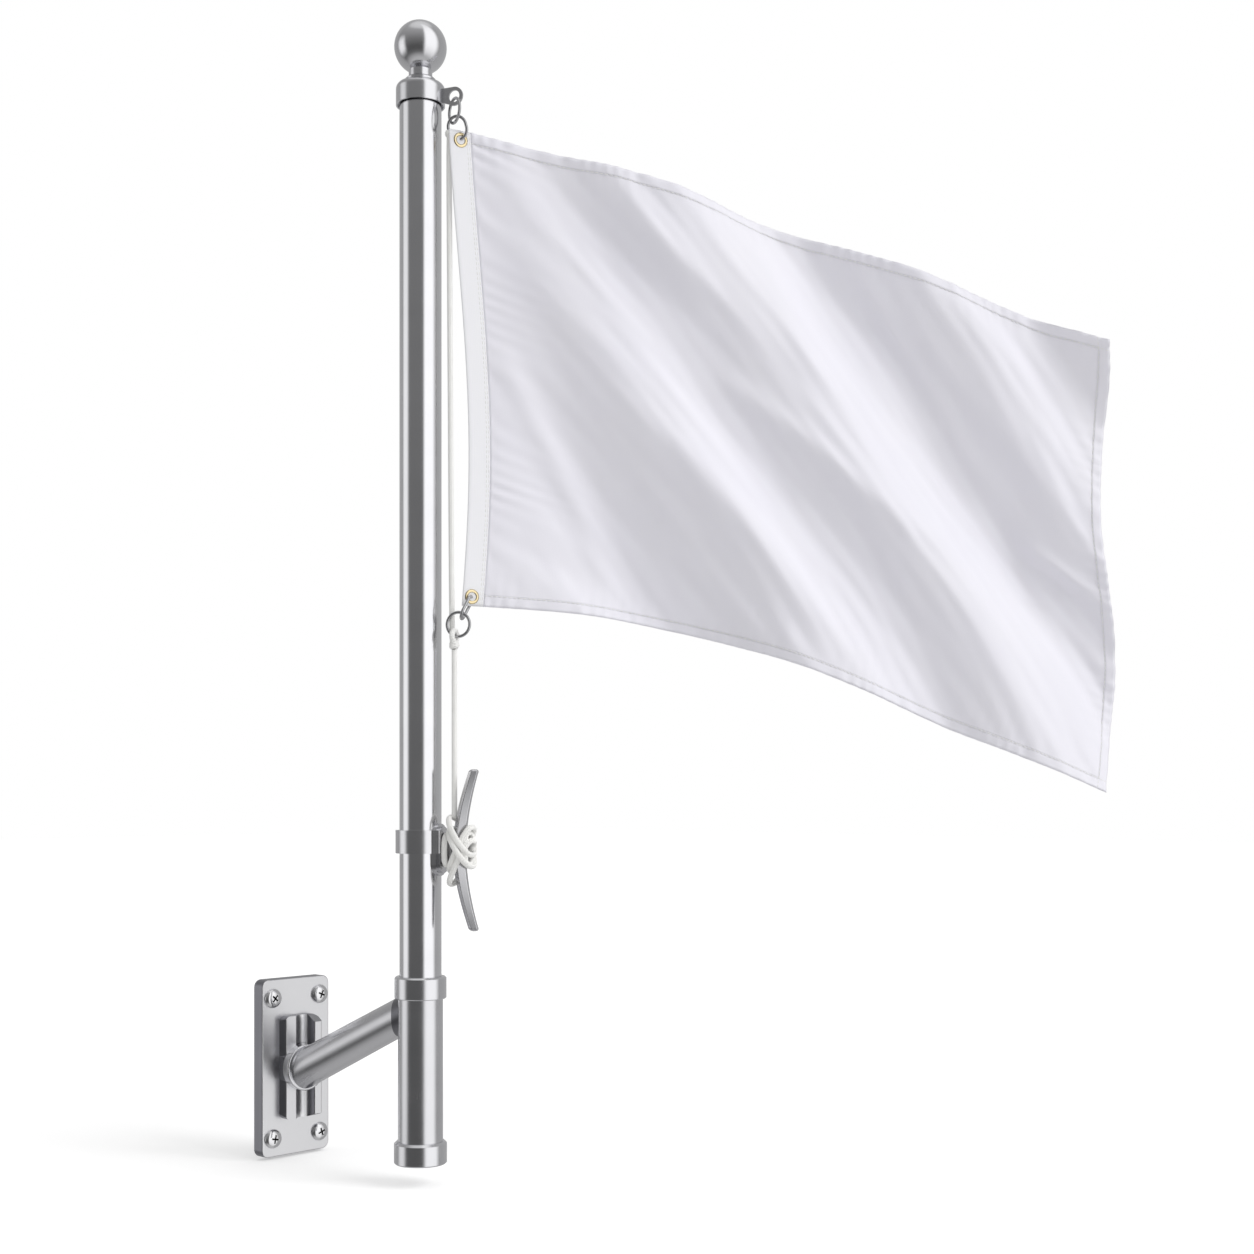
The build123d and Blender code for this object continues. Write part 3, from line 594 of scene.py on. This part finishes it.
def frames(points, closed=False):
    """Directions along a line, and sideways directions carried along it without twist."""
    count = len(points)
    tangents = directions(points, closed)
    side = tangents[0].orthogonal().normalized()
    sides = [side]
    for a, b in zip(tangents, tangents[1:]):
        side = (a.rotation_difference(b) @ side).normalized()
        sides.append(side)
    if closed:
        last = (tangents[-1].rotation_difference(tangents[0]) @ sides[-1]).normalized()
        twist = last.angle(sides[0])
        if last.cross(sides[0]).dot(tangents[0]) < 0:
            twist = -twist
        sides = [
            Matrix.Rotation(twist * i / count, 3, tangents[i]) @ s for i, s in enumerate(sides)]
    return tangents, sides


def tube(points, sides, tangents, radii, around, closed, points_out, faces_out):
    """Adds a tube to a mesh's points and faces; radii are (across, out) at each point."""
    start, count = len(points_out), len(points)
    for point, side, tangent, (wide, deep) in zip(points, sides, tangents, radii):
        out = tangent.cross(side)
        for k in range(around):
            a = math.tau * k / around
            points_out.append(point + side * (math.cos(a) * deep) + out * (math.sin(a) * wide))
    for i in range(count if closed else count - 1):
        here, there = start + i * around, start + (i + 1) % count * around
        for k in range(around):
            m = (k + 1) % around
            faces_out.append((here + k, here + m, there + m, there + k))
    if not closed:
        faces_out.append(tuple(start + k for k in reversed(range(around))))
        faces_out.append(tuple(start + (count - 1) * around + k for k in range(around)))


# A strand as shares: its width of its space in the braid, its depth of its width, and how far it
# weaves in and out of its depth. The core is a share of the line that the strands wind round on.
STRAND_FILL, STRAND_DEPTH, STRAND_WEAVE, CORE_FILL = 1.04, 0.46, 0.45, 0.97


def braid(routes, settings):
    """Points and faces of braided cord: strands wound each way, over and under.

    A route is its points, whether it is closed, and the way its width lies if it is pulled flat."""
    points_out, faces_out = [], []
    radius = settings.diameter / 2
    slope = math.atan2(math.tau * radius, settings.lay)
    strand_wide = math.pi * radius / settings.strands * math.cos(slope) * STRAND_FILL
    strand_deep = strand_wide * STRAND_DEPTH
    weave = strand_deep * STRAND_WEAVE
    mean = radius - strand_deep - weave
    for route, closed, lie in routes:
        points, total = resample(route, settings.step, closed)
        tangents, sides = frames(points, closed)
        wide, deep = mean, mean
        if lie:
            sides = [(lie - t * lie.dot(t)).normalized() for t in tangents]
            wide, deep = mean * (1 + settings.flatten), mean * (1 - settings.flatten)
        turns = total / settings.lay
        if closed:
            turns = max(1, round(turns))
        count = len(points)
        core = [(deep * CORE_FILL, wide * CORE_FILL)] * len(points[::4])
        tube(points[::4], sides[::4], tangents[::4], core, 10, closed, points_out, faces_out)
        for way in (1, -1):
            for k in range(settings.strands):
                line, outs = [], []
                for i in range(count):
                    share = i / (count if closed else count - 1)
                    angle = way * math.tau * turns * share + math.tau * k / settings.strands
                    wave = way * math.cos(math.tau * turns * share * settings.strands)
                    across = tangents[i].cross(sides[i])
                    out = sides[i] * (math.cos(angle) / wide) + across * (math.sin(angle) / deep)
                    out.normalize()
                    rim = sides[i] * (math.cos(angle) * wide) + across * (math.sin(angle) * deep)
                    line.append(points[i] + rim + out * (weave * wave))
                    outs.append(out)
                run = directions(line, closed)
                outs = [(o - r * o.dot(r)).normalized() for o, r in zip(outs, run)]
                shape = [(strand_wide, strand_deep)] * count
                tube(line, outs, run, shape, 5, closed, points_out, faces_out)
    return points_out, faces_out


def rope_finish(name, settings):
    """Twisted polyester fibre: matt white, with a soft sheen and faint dust in patches."""
    made, tree = material(name)
    coords = add(tree, "TexCoord")
    fibres = add(
        tree, "TexNoise", Vector=(coords, "Object"), Scale=2600.0, Detail=2.0, Roughness=0.7)
    dust = add(tree, "TexNoise", Vector=(coords, "Object"), Scale=160.0, Detail=3.0)
    tint = add(
        tree, "Mix", data_type="RGBA", Factor=(dust, "Fac"), i6=settings.fibre, i7=settings.dust)
    bump = add(tree, "Bump", Strength=0.5, Distance=0.08 * MM, Height=(fibres, "Fac"))
    shader = add(
        tree, "BsdfPrincipled", Base_Color=(tint, 2), Roughness=0.72,
        Sheen_Weight=0.25, Sheen_Roughness=0.4, Normal=bump)
    add(tree, "OutputMaterial", Surface=shader)
    return made


def halyard_side(out, height, beside=0.0):
    """A point in the cleat's side plane, in mm: out from the pole's axis, up, and beside it."""
    direction = toward(HALYARD_ANGLE)
    across = Vector((direction.y, -direction.x, 0))
    return POLE + direction * (out * MM) + across * (beside * MM) + upright(height * MM)


def turn_route(inner, outer, middle_across, end_across):
    """One tight turn round the cleat, from an inner to an outer point of its side plane, in mm.

    It is widest in its middle, where it may lie over other turns, and closes in at its ends.
    The power, below one, makes it squarer than an ellipse."""
    count, power = 24, 0.62
    spots = []
    for step in range(count):
        angle = math.tau * step / count
        reach = math.copysign(abs(math.cos(angle)) ** power, math.cos(angle))
        beside = math.copysign(abs(math.sin(angle)) ** power, math.sin(angle))
        across = end_across + (middle_across - end_across) * (1 - reach ** 2)
        share = (1 + reach) / 2
        out, height = (a + (b - a) * share for a, b in zip(inner, outer))
        spots.append(halyard_side(out, height, across / 2 * beside))
    along = halyard_side(*outer) - halyard_side(*inner)
    lie = along.cross(halyard_side(0, 0, 1) - halyard_side(0, 0)).normalized()
    return curve_points("turn", spots, closed=True, order=3), True, lie


def helix(middle, radius, angles, span, down, length):
    """Points of a coil round an upright line, in mm from its middle.

    It climbs its length in the angle span, and down is the share of it below the middle."""
    return [
        middle + Vector((
            math.cos(a) * radius * MM, math.sin(a) * radius * MM, (a / span - down) * length * MM))
        for a in angles
    ]


class FLAGPOLE_OT_halyard(bpy.types.Operator):
    """Make the braided halyard, its knots and the hitch on the cleat"""
    bl_idname = "flagpole.halyard"
    bl_label = "Add halyard"

    def execute(self, context):
        settings = context.scene.flagpole_rope
        # Braided polyester cord: fine matt strands, with faint dust in patches.
        finish = rope_finish("braided white polyester cord", settings)

        def cord(name, routes, body):
            """A piece of cord along routes: each a name, points, whether closed, and an order."""
            read = [(curve_points(*route), route[2], None) for route in routes]
            return dress(from_mesh(name, *braid(read, settings)), body, finish)

        low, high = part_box("halyard_lower")
        fall = [ROPE_LINE + upright(low[2] + (high[2] - low[2]) * s) for s in (0, 0.33, 0.66, 1)]
        made = cord("halyard_fall", [("fall", fall, False, 4)], "pole")
        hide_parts("halyard_lower")

        back = toward(HEADER_ANGLE + 90) * (BEHIND * MM)
        drift = toward(HEADER_ANGLE) * (DRIFT * MM)
        knot_low, knot_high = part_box("halyard_knot")
        knot_middle = knot_low[2] + KNOT_FOOT * MM
        bend_low = place("lower_ring").z - RING_GAP * MM
        bend_high = HEADER_TOP - HEADER_WIDTH
        up = (upright(LINK_RISE) - toward(HEADER_ANGLE) * LINK_RUN).normalized()
        out = toward(UPPER_LINK_ANGLE)
        across = (out - up * out.dot(up)).normalized()
        knot_at = place("upper_link") - across * (KNOT_BESIDE * MM) - up * (KNOT_BELOW * MM)
        route = [
            ROPE_LINE + back * 0.7 + upright(knot_middle),
            ROPE_LINE + back + upright(bend_low),
            ROPE_LINE + back - drift * 0.15 + upright(bend_low + BEND * MM),
            ROPE_LINE + back - drift * 0.9 + upright(bend_high - BEND * MM),
            ROPE_LINE + back - drift + upright(bend_high),
            knot_at,
        ]
        whip = helix(knot_at, 1.15, [i * 0.6 for i in range(21)], 9.0, 0.7, 1.2)
        made = cord("halyard_rise", [("rise", route, False, 4), ("whip", whip, False, 4)], "flag")
        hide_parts("halyard_upper")

        loop_side = toward(LOOP_ANGLE)
        loop_middle = upright(knot_high[2] - LOOP_DROP * MM)
        radius = LOOP_RADIUS * MM
        loop = [
            ROPE_LINE + loop_side * (math.cos(a) * radius) + loop_middle
            + upright(math.sin(a) * radius)
            for a in [math.tau * i / 12 for i in range(12)]
        ]
        span = math.tau * COIL_TURNS
        angles = [span * i / 24 for i in range(25)]
        coil = helix(ROPE_LINE + upright(knot_middle), 1.55, angles, span, 0.5, 2.6)
        made = cord("halyard_loop", [("loop", loop, True, 3), ("coil", coil, False, 4)], "flag")
        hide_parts("halyard_knot")

        # The hitch: a turn round the cleat's foot, two rising turns, two falling turns over them,
        # and an upright turn round the roots of the horns
        middle = CLEAT_HEIGHT
        foot = (FOOT_OUT, middle - FOOT_UP), (FOOT_OUT, middle + FOOT_UP)
        turns = [turn_route(*foot, FOOT_WIDE, FOOT_WIDE)]
        for height in (middle - TURN_START, middle - TURN_START - UNDER_PITCH):
            ends = (TURN_INNER, height), (TURN_OUTER, height + UNDER_RISE)
            turns.append(turn_route(*ends, *UNDER_WIDE))
        for height in (middle + TURN_START, middle + TURN_START + OVER_PITCH):
            ends = (TURN_INNER, height), (TURN_OUTER, height - OVER_DROP)
            turns.append(turn_route(*ends, *OVER_WIDE))
        root = (ROOT_OUT, middle - ROOT_DOWN), (ROOT_OUT, middle + ROOT_UP)
        turns.append(turn_route(*root, ROOT_WIDE, ROOT_WIDE))
        made = from_mesh("cleat_turns", *braid(turns, settings))
        dress(made, "pole", finish)
        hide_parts("cleat_hitch")
        return {"FINISHED"}


# Flag

HEADER_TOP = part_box("flag_header")[1][2]
HEADER_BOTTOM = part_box("flag_header")[0][2]
HEADER_HEIGHT = HEADER_TOP - HEADER_BOTTOM
HEADER_WIDTH = 13.7 * MM
REACH = 399.0 * MM
DROOP = 112.8 * MM
TOP_ARCH = 8.4 * MM
BOTTOM_ARCH = 20.6 * MM
BOTTOM_SWAY = 4.7 * MM
FLY_WAVE = 5.6 * MM

# Broad folds of the cloth: height in mm, waves down and along it, and phase
FOLDS = ((8.0, 1.6, -2.5, -0.3), (9.0, 0.6, -0.9, 1.8))

# Creases of the cloth: from and to (share of the reach, share of the way down), half width and
# height in mm
CREASES = (
    (0.39, 0.42, 0.64, 0.6, 10, 3.4),
    (0.2, 0.02, 0.34, 0.22, 10, 3.6),
    (0.05, 0.08, 0.24, 0.36, 9, 1.8),
    (0.30, 0.60, 0.60, 0.99, 13, 3.6),
    (0.84, 0.46, 0.86, 0.64, 13, -4.0),
    (0.89, 0.52, 0.97, 0.575, 6, 3.2),
    (0.76, 0.02, 0.90, 0.20, 13, 3.0),
    (0.44, 0.06, 0.52, 0.30, 12, 2.4),
    (0.92, 0.30, 0.985, 0.44, 9, -2.4),
    (0.86, 0.72, 0.97, 0.90, 14, 2.8),
    (0.33, 0.80, 0.44, 0.93, 9, -2.6),
    (0.06, 0.86, 0.20, 0.97, 12, -2.2),
    (0.03, 0.48, 0.20, 0.94, 9, 2.7),
)


def header_edge(share):
    """Where the header's free edge stands along the header, at a share of the way down.

    It slants out by 8.4 mm to the bottom, and bows out by 7.5 mm, most below its middle."""
    line = (-3.7 + 8.4 * share) * MM
    return line + 7.5 * MM * math.sin(math.pi * share ** 1.35)


def header_point(along, height, off=0.0):
    """A point of the header's plane: along it, at a height, and off its middle toward the front."""
    across = toward(HEADER_ANGLE - 90)
    return ROPE_LINE + toward(HEADER_ANGLE) * along + across * off + upright(height)


def fold(along, share):
    """How far the cloth stands off its middle plane, in metres: slanting folds on a billow.

    They reach their full height at a quarter of the reach."""
    total = sum(
        height * math.sin(math.tau * (down * share + out * along) + phase)
        for height, down, out, phase in FOLDS)
    return ease(along * 4) * total * MM


def crease(along, share):
    """Sharper creases that lie on the broad folds."""
    x, y = along * REACH, share * HEADER_HEIGHT
    total = 0.0
    for a0, s0, a1, s1, width, height in CREASES:
        x0, y0, x1, y1 = a0 * REACH, s0 * HEADER_HEIGHT, a1 * REACH, s1 * HEADER_HEIGHT
        length = math.hypot(x1 - x0, y1 - y0)
        t = min(1.0, max(0.0, ((x - x0) * (x1 - x0) + (y - y0) * (y1 - y0)) / length ** 2))
        away = math.hypot(x - x0 - t * (x1 - x0), y - y0 - t * (y1 - y0)) / (width * MM)
        if away < 3:
            ends = 0.35 + 0.65 * math.sin(math.pi * (0.1 + 0.8 * t))
            total += height * MM * math.exp(-away * away) * ends
    return total


def wrinkle(along, share):
    """Fine creases, in mm: puckers that fan from the header's seam and the hems, and streaks."""
    run = along * REACH
    seam = math.exp(-run / (20 * MM)) * ease(run / (3 * MM))
    strength = 0.25 + 0.75 * noise.noise(Vector((0.3, share * 14, 6.2))) ** 2 * 3
    puckers = 0.8 * seam * strength * math.sin(share * 150 + 5 * math.sin(share * 17) - run * 190)
    edge = min(share, 1 - share) * HEADER_HEIGHT
    hems = 0.42 * math.exp(-edge / (8 * MM)) * math.sin(along * 250 + 5 * math.sin(along * 31))
    fly = (1 - along) * REACH
    fly_hem = 0.42 * math.exp(-fly / (8 * MM)) * math.sin(share * 180 + 4 * math.sin(share * 23))
    slant = share - 1.57 * along
    soft = noise.noise(Vector((slant * 8, (share + along) * 2.4, 1.7))) * 2.7
    small = noise.noise(Vector((slant * 21, (share + along) * 5, 4.1))) * 0.85
    return (puckers + hems + fly_hem + (soft + small) * ease(along * 5)) * MM


def panel_point(along, share, off=0.0):
    """A point of the cloth, at a share of its reach from the seam and a share of the way down."""
    height = HEADER_TOP - HEADER_HEIGHT * share
    seam = header_point(header_edge(share) + HEADER_WIDTH, height)
    arch = TOP_ARCH * (1 - share) + BOTTOM_ARCH * share
    sway = BOTTOM_SWAY * share * math.sin(math.tau * along)
    drop = DROOP * along - arch * math.sin(math.pi * along) - sway
    reach = REACH * along + FLY_WAVE * along ** 2 * math.sin(3 * math.pi * share + 0.7)
    stand = fold(along, share) + crease(along, share) + wrinkle(along, share) + off
    return seam + toward(FLAG_ANGLE) * reach + toward(FLAG_ANGLE - 90) * stand - upright(drop)


def sheet_mesh(name, columns, rows, point, thickness, width, height):
    """A closed sheet from a grid of points, with a UV map in metres of flat cloth."""
    spots, faces = [], []
    for side in (1, -1):
        for row in range(rows + 1):
            for column in range(columns + 1):
                along, share = column / columns, row / rows
                spots.append(point(along, share, side * thickness(along, share) / 2))
    offset = (rows + 1) * (columns + 1)
    for row in range(rows):
        for column in range(columns):
            a = row * (columns + 1) + column
            b, c, d = a + 1, a + columns + 2, a + columns + 1
            faces.append((d, c, b, a))
            faces.append((a + offset, b + offset, c + offset, d + offset))
    rim = list(range(columns + 1))
    rim += [r * (columns + 1) + columns for r in range(1, rows + 1)]
    rim += [rows * (columns + 1) + c for c in range(columns - 1, -1, -1)]
    rim += [r * (columns + 1) for r in range(rows - 1, 0, -1)]
    for a, b in zip(rim, rim[1:] + rim[:1]):
        faces.append((a, b, b + offset, a + offset))
    obj = from_mesh(name, spots, faces)
    layer = obj.data.uv_layers.new(name="flat")
    for loop in obj.data.loops:
        row, column = divmod(loop.vertex_index % offset, columns + 1)
        layer.data[loop.index].uv = (column / columns * width, (1 - row / rows) * height)
    return obj


def cloth_finish(name, bright, shade, thread, sheen, roughness, hem=None):
    """Woven cloth: fine plain weave that follows the cloth, soft sheen, faint colour drift.

    thread sets the size of the weave, in mm; hem is the hem's width in metres, whose seam presses
    a groove into the cloth."""
    made, tree = material(name)
    coords = add(tree, "UVMap", uv_map="flat")
    # The weave is drawn about three times coarser than life, so that it holds in a picture.
    bands = [
        add(
            tree, "TexWave", bands_direction=axis,
            Vector=coords, Scale=1000 / thread / 3.2, Distortion=0.4, Detail=1.0)
        for axis in "XY"
    ]
    weave = add(tree, "Math", operation="MULTIPLY", i0=(bands[0], "Fac"), i1=(bands[1], "Fac"))
    drift = add(tree, "TexNoise", Vector=coords, Scale=14.0, Detail=3.0)
    tint = add(tree, "Mix", data_type="RGBA", Factor=(drift, "Fac"), i6=bright, i7=shade)
    bump = add(tree, "Bump", Strength=0.25, Distance=0.05 * MM, Height=weave)
    if hem:
        spot = add(tree, "SeparateXYZ", Vector=coords)
        above = add(tree, "Math", operation="SUBTRACT", i0=HEADER_HEIGHT, i1=(spot, "Y"))
        beyond = add(tree, "Math", operation="SUBTRACT", i0=REACH, i1=(spot, "X"))
        up_down = add(tree, "Math", operation="MINIMUM", i0=above, i1=(spot, "Y"))
        edge = add(tree, "Math", operation="MINIMUM", i0=up_down, i1=beyond)
        away = add(tree, "Math", operation="SUBTRACT", i0=edge, i1=hem)
        wide = add(tree, "Math", operation="ABSOLUTE", i0=away)
        groove = add(
            tree, "MapRange", interpolation_type="SMOOTHSTEP",
            Value=wide, From_Min=0.0, From_Max=1.0 * MM)
        lap = add(
            tree, "MapRange", interpolation_type="SMOOTHSTEP",
            Value=away, From_Min=-0.3 * MM, From_Max=0.5 * MM, To_Min=1.0, To_Max=0.0)
        step = add(tree, "Math", operation="ADD", i0=groove, i1=lap)
        bump = add(tree, "Bump", Strength=1.0, Distance=0.35 * MM, Height=step, Normal=bump)
        # The groove holds a thin shadow.
        grey = add(tree, "MapRange", Value=groove, To_Min=0.94, To_Max=1.0)
        tint = add(
            tree, "Mix", data_type="RGBA", blend_type="MULTIPLY",
            Factor=1.0, i6=(tint, 2), i7=(grey, 0))
    shader = add(
        tree, "BsdfPrincipled", Base_Color=(tint, 2), Roughness=roughness,
        Sheen_Weight=sheen, Sheen_Roughness=0.35, Normal=bump)
    thin = add(tree, "BsdfTranslucent", Color=bright, Normal=bump)
    both = add(tree, "MixShader", Fac=0.18, i1=shader, i2=thin)
    add(tree, "OutputMaterial", Surface=both)
    return made


def stitches(name, spots, settings, body, finish):
    """A row of short stitches along a line of surface points, each a small rounded bar.

    A bar shows over 0.76 of the pitch: the rest sinks into the cloth."""
    line = resample(spots, settings.stitch * 1.3)[0]
    points_out, faces_out = [], []
    full, tip = 0.2 * MM, 0.06 * MM
    radii = [(tip, tip), (full, full), (full, full), (tip, tip)]
    for a, b in zip(line, line[1:]):
        end = a.lerp(b, 0.76)
        tangent = (end - a).normalized()
        side = tangent.orthogonal().normalized()
        bar = [a, a.lerp(end, 0.25), a.lerp(end, 0.75), end]
        tube(bar, [side] * 4, [tangent] * 4, radii, 6, False, points_out, faces_out)
    return dress(from_mesh(name, points_out, faces_out), body, finish)


class FLAGPOLE_OT_flag(bpy.types.Operator):
    """Make the flag: cloth panel with hems, header band and stitching"""
    bl_idname = "flagpole.flag"
    bl_label = "Add flag"

    def execute(self, context):
        settings = context.scene.flagpole_cloth
        # Satin-weave polyester: smooth and faintly blue-white, folds catch broad soft light.
        cloth = cloth_finish(
            "satin woven polyester", settings.bright, settings.shade, 0.9, 0.2, 0.45,
            hem=settings.hem)
        # Header band of doubled polyester canvas: whiter and flatter than the panel.
        canvas = cloth_finish(
            "doubled polyester canvas", colour("#FBFBFD"), colour("#F5F5F9"), 1.1, 0.1, 0.62)
        # Sewing thread: matt spun fibre, with faint dust in patches.
        thread = rope_finish("spun white sewing thread", context.scene.flagpole_rope)

        hem_share_x = settings.hem / REACH
        hem_share_y = settings.hem / HEADER_HEIGHT

        def thickness(along, share):
            """Twice as thick inside the turned hems."""
            inside = min((1 - along) / hem_share_x, share / hem_share_y, (1 - share) / hem_share_y)
            return settings.thickness * (1 + 1.1 * (1 - ease((inside - 0.92) / 0.16)))

        panel = sheet_mesh(
            "flag_cloth", settings.columns, settings.rows, panel_point, thickness,
            REACH, HEADER_HEIGHT)
        dress(panel, "flag", cloth)
        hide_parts("flag_panel")

        def header_spot(along, share, off):
            """A point of the header band, at shares of its width and of the way down."""
            height = HEADER_TOP - HEADER_HEIGHT * share
            return header_point(header_edge(share) + HEADER_WIDTH * along, height, off)

        def header_thickness(along, share):
            """Full, 1.1 mm, apart from the free edge, which the fold rounds over."""
            return (0.35 + 0.65 * math.sin(math.pi * min(0.5, along * 4 + 0.02))) * 1.1 * MM

        band = sheet_mesh(
            "header_band", 16, 120, header_spot, header_thickness, HEADER_WIDTH, HEADER_HEIGHT)
        dress(band, "flag", canvas)
        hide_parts("flag_header")

        for face, word in ((1, "front"), (-1, "back")):
            off = face * (settings.thickness * 1.05 + 0.02 * MM)
            lines = {
                "hem_top": [panel_point(i / 200, hem_share_y, off) for i in range(201)],
                "hem_low": [panel_point(i / 200, 1 - hem_share_y, off) for i in range(201)],
                "hem_fly": [panel_point(1 - hem_share_x, i / 160, off) for i in range(161)],
            }
            # Two seams of the header, at shares of its width, on faces 0.56 mm off its middle
            for seam, along in (("seam_1", 0.84), ("seam_2", 0.95)):
                lines[seam] = [header_spot(along, i / 120, face * 0.56 * MM) for i in range(121)]
            for name, line in lines.items():
                stitches(f"{name}_{word}", line, settings, "flag", thread)
        # The panel's flat length is its reach and the 20 mm that its folds take up.
        return {"FINISHED"}


# Stage

class FLAGPOLE_OT_stage(bpy.types.Operator):
    """Make the floor, the soft lamps and the camera"""
    bl_idname = "flagpole.stage"
    bl_label = "Add stage"

    def execute(self, context):
        scene = context.scene
        settings = scene.flagpole_studio
        scene.view_settings.view_transform = "Standard"
        world_light(settings.fill)

        bpy.ops.object.select_all(action="DESELECT")
        bpy.ops.mesh.primitive_plane_add(size=14, location=(0, 0, settings.floor))
        floor = context.object
        floor.name = "studio_floor"
        made, tree = material("matt white floor")
        path = add(tree, "LightPath")
        matt = add(tree, "BsdfDiffuse", Color=(0.78, 0.78, 0.78, 1))
        # For the camera alone the floor is lifted to white, and its shadow with it.
        lift = add(tree, "Math", operation="MULTIPLY", i0=(path, "Is Camera Ray"), i1=0.38)
        glow = add(tree, "Emission", Color=WHITE, Strength=lift)
        both = add(tree, "AddShader", i0=matt, i1=glow)
        add(tree, "OutputMaterial", Surface=both)
        floor.data.materials.append(made)
        floor.visible_glossy = False

        # The large soft lamp stands to the right of the camera, high enough to model the folds.
        lamp = bpy.data.lights.new("key_lamp", "SUN")
        lamp.energy = settings.key
        lamp.angle = math.radians(38)
        key = bpy.data.objects.new("key_lamp", lamp)
        key.rotation_euler = Vector((0.30, -0.80, 0.62)).to_track_quat("Z", "Y").to_euler()
        key.visible_glossy = False
        context.collection.objects.link(key)

        lens = bpy.data.cameras.new("camera")
        lens.sensor_width = 36
        lens.lens = CAMERA_LENS
        lens.shift_y = CAMERA_SHIFT
        camera = bpy.data.objects.new("camera", lens)
        camera.location = CAMERA_PLACE
        camera.rotation_euler = (math.radians(90), 0, math.radians(CAMERA_TURN))
        context.collection.objects.link(camera)
        scene.camera = camera
        return {"FINISHED"}


OPERATORS = (
    FLAGPOLE_OT_metal, FLAGPOLE_OT_screws, FLAGPOLE_OT_halyard, FLAGPOLE_OT_flag, FLAGPOLE_OT_stage,
)


class FLAGPOLE_PT_panel(bpy.types.Panel):
    """Lists the steps that dress the flagpole"""
    bl_label = "Flagpole"
    bl_idname = "FLAGPOLE_PT_panel"
    bl_space_type = "VIEW_3D"
    bl_region_type = "UI"
    bl_category = "Flagpole"

    def draw(self, context):
        for operator in OPERATORS:
            self.layout.operator(operator.bl_idname)
        for name, group in GROUPS:
            for field in group.__annotations__:
                self.layout.prop(getattr(context.scene, name), field)


def register():
    for name, group in GROUPS:
        bpy.utils.register_class(group)
        setattr(bpy.types.Scene, name, PointerProperty(type=group))
    for operator in OPERATORS:
        bpy.utils.register_class(operator)
    bpy.utils.register_class(FLAGPOLE_PT_panel)


def unregister():
    bpy.utils.unregister_class(FLAGPOLE_PT_panel)
    for operator in reversed(OPERATORS):
        bpy.utils.unregister_class(operator)
    for name, group in reversed(GROUPS):
        delattr(bpy.types.Scene, name)
        bpy.utils.unregister_class(group)


def main():
    """Registers the add-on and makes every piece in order."""
    register()
    bpy.ops.flagpole.metal()
    bpy.ops.flagpole.screws()
    bpy.ops.flagpole.halyard()
    bpy.ops.flagpole.flag()
    bpy.ops.flagpole.stage()


if __name__ == "__main__":
    main()
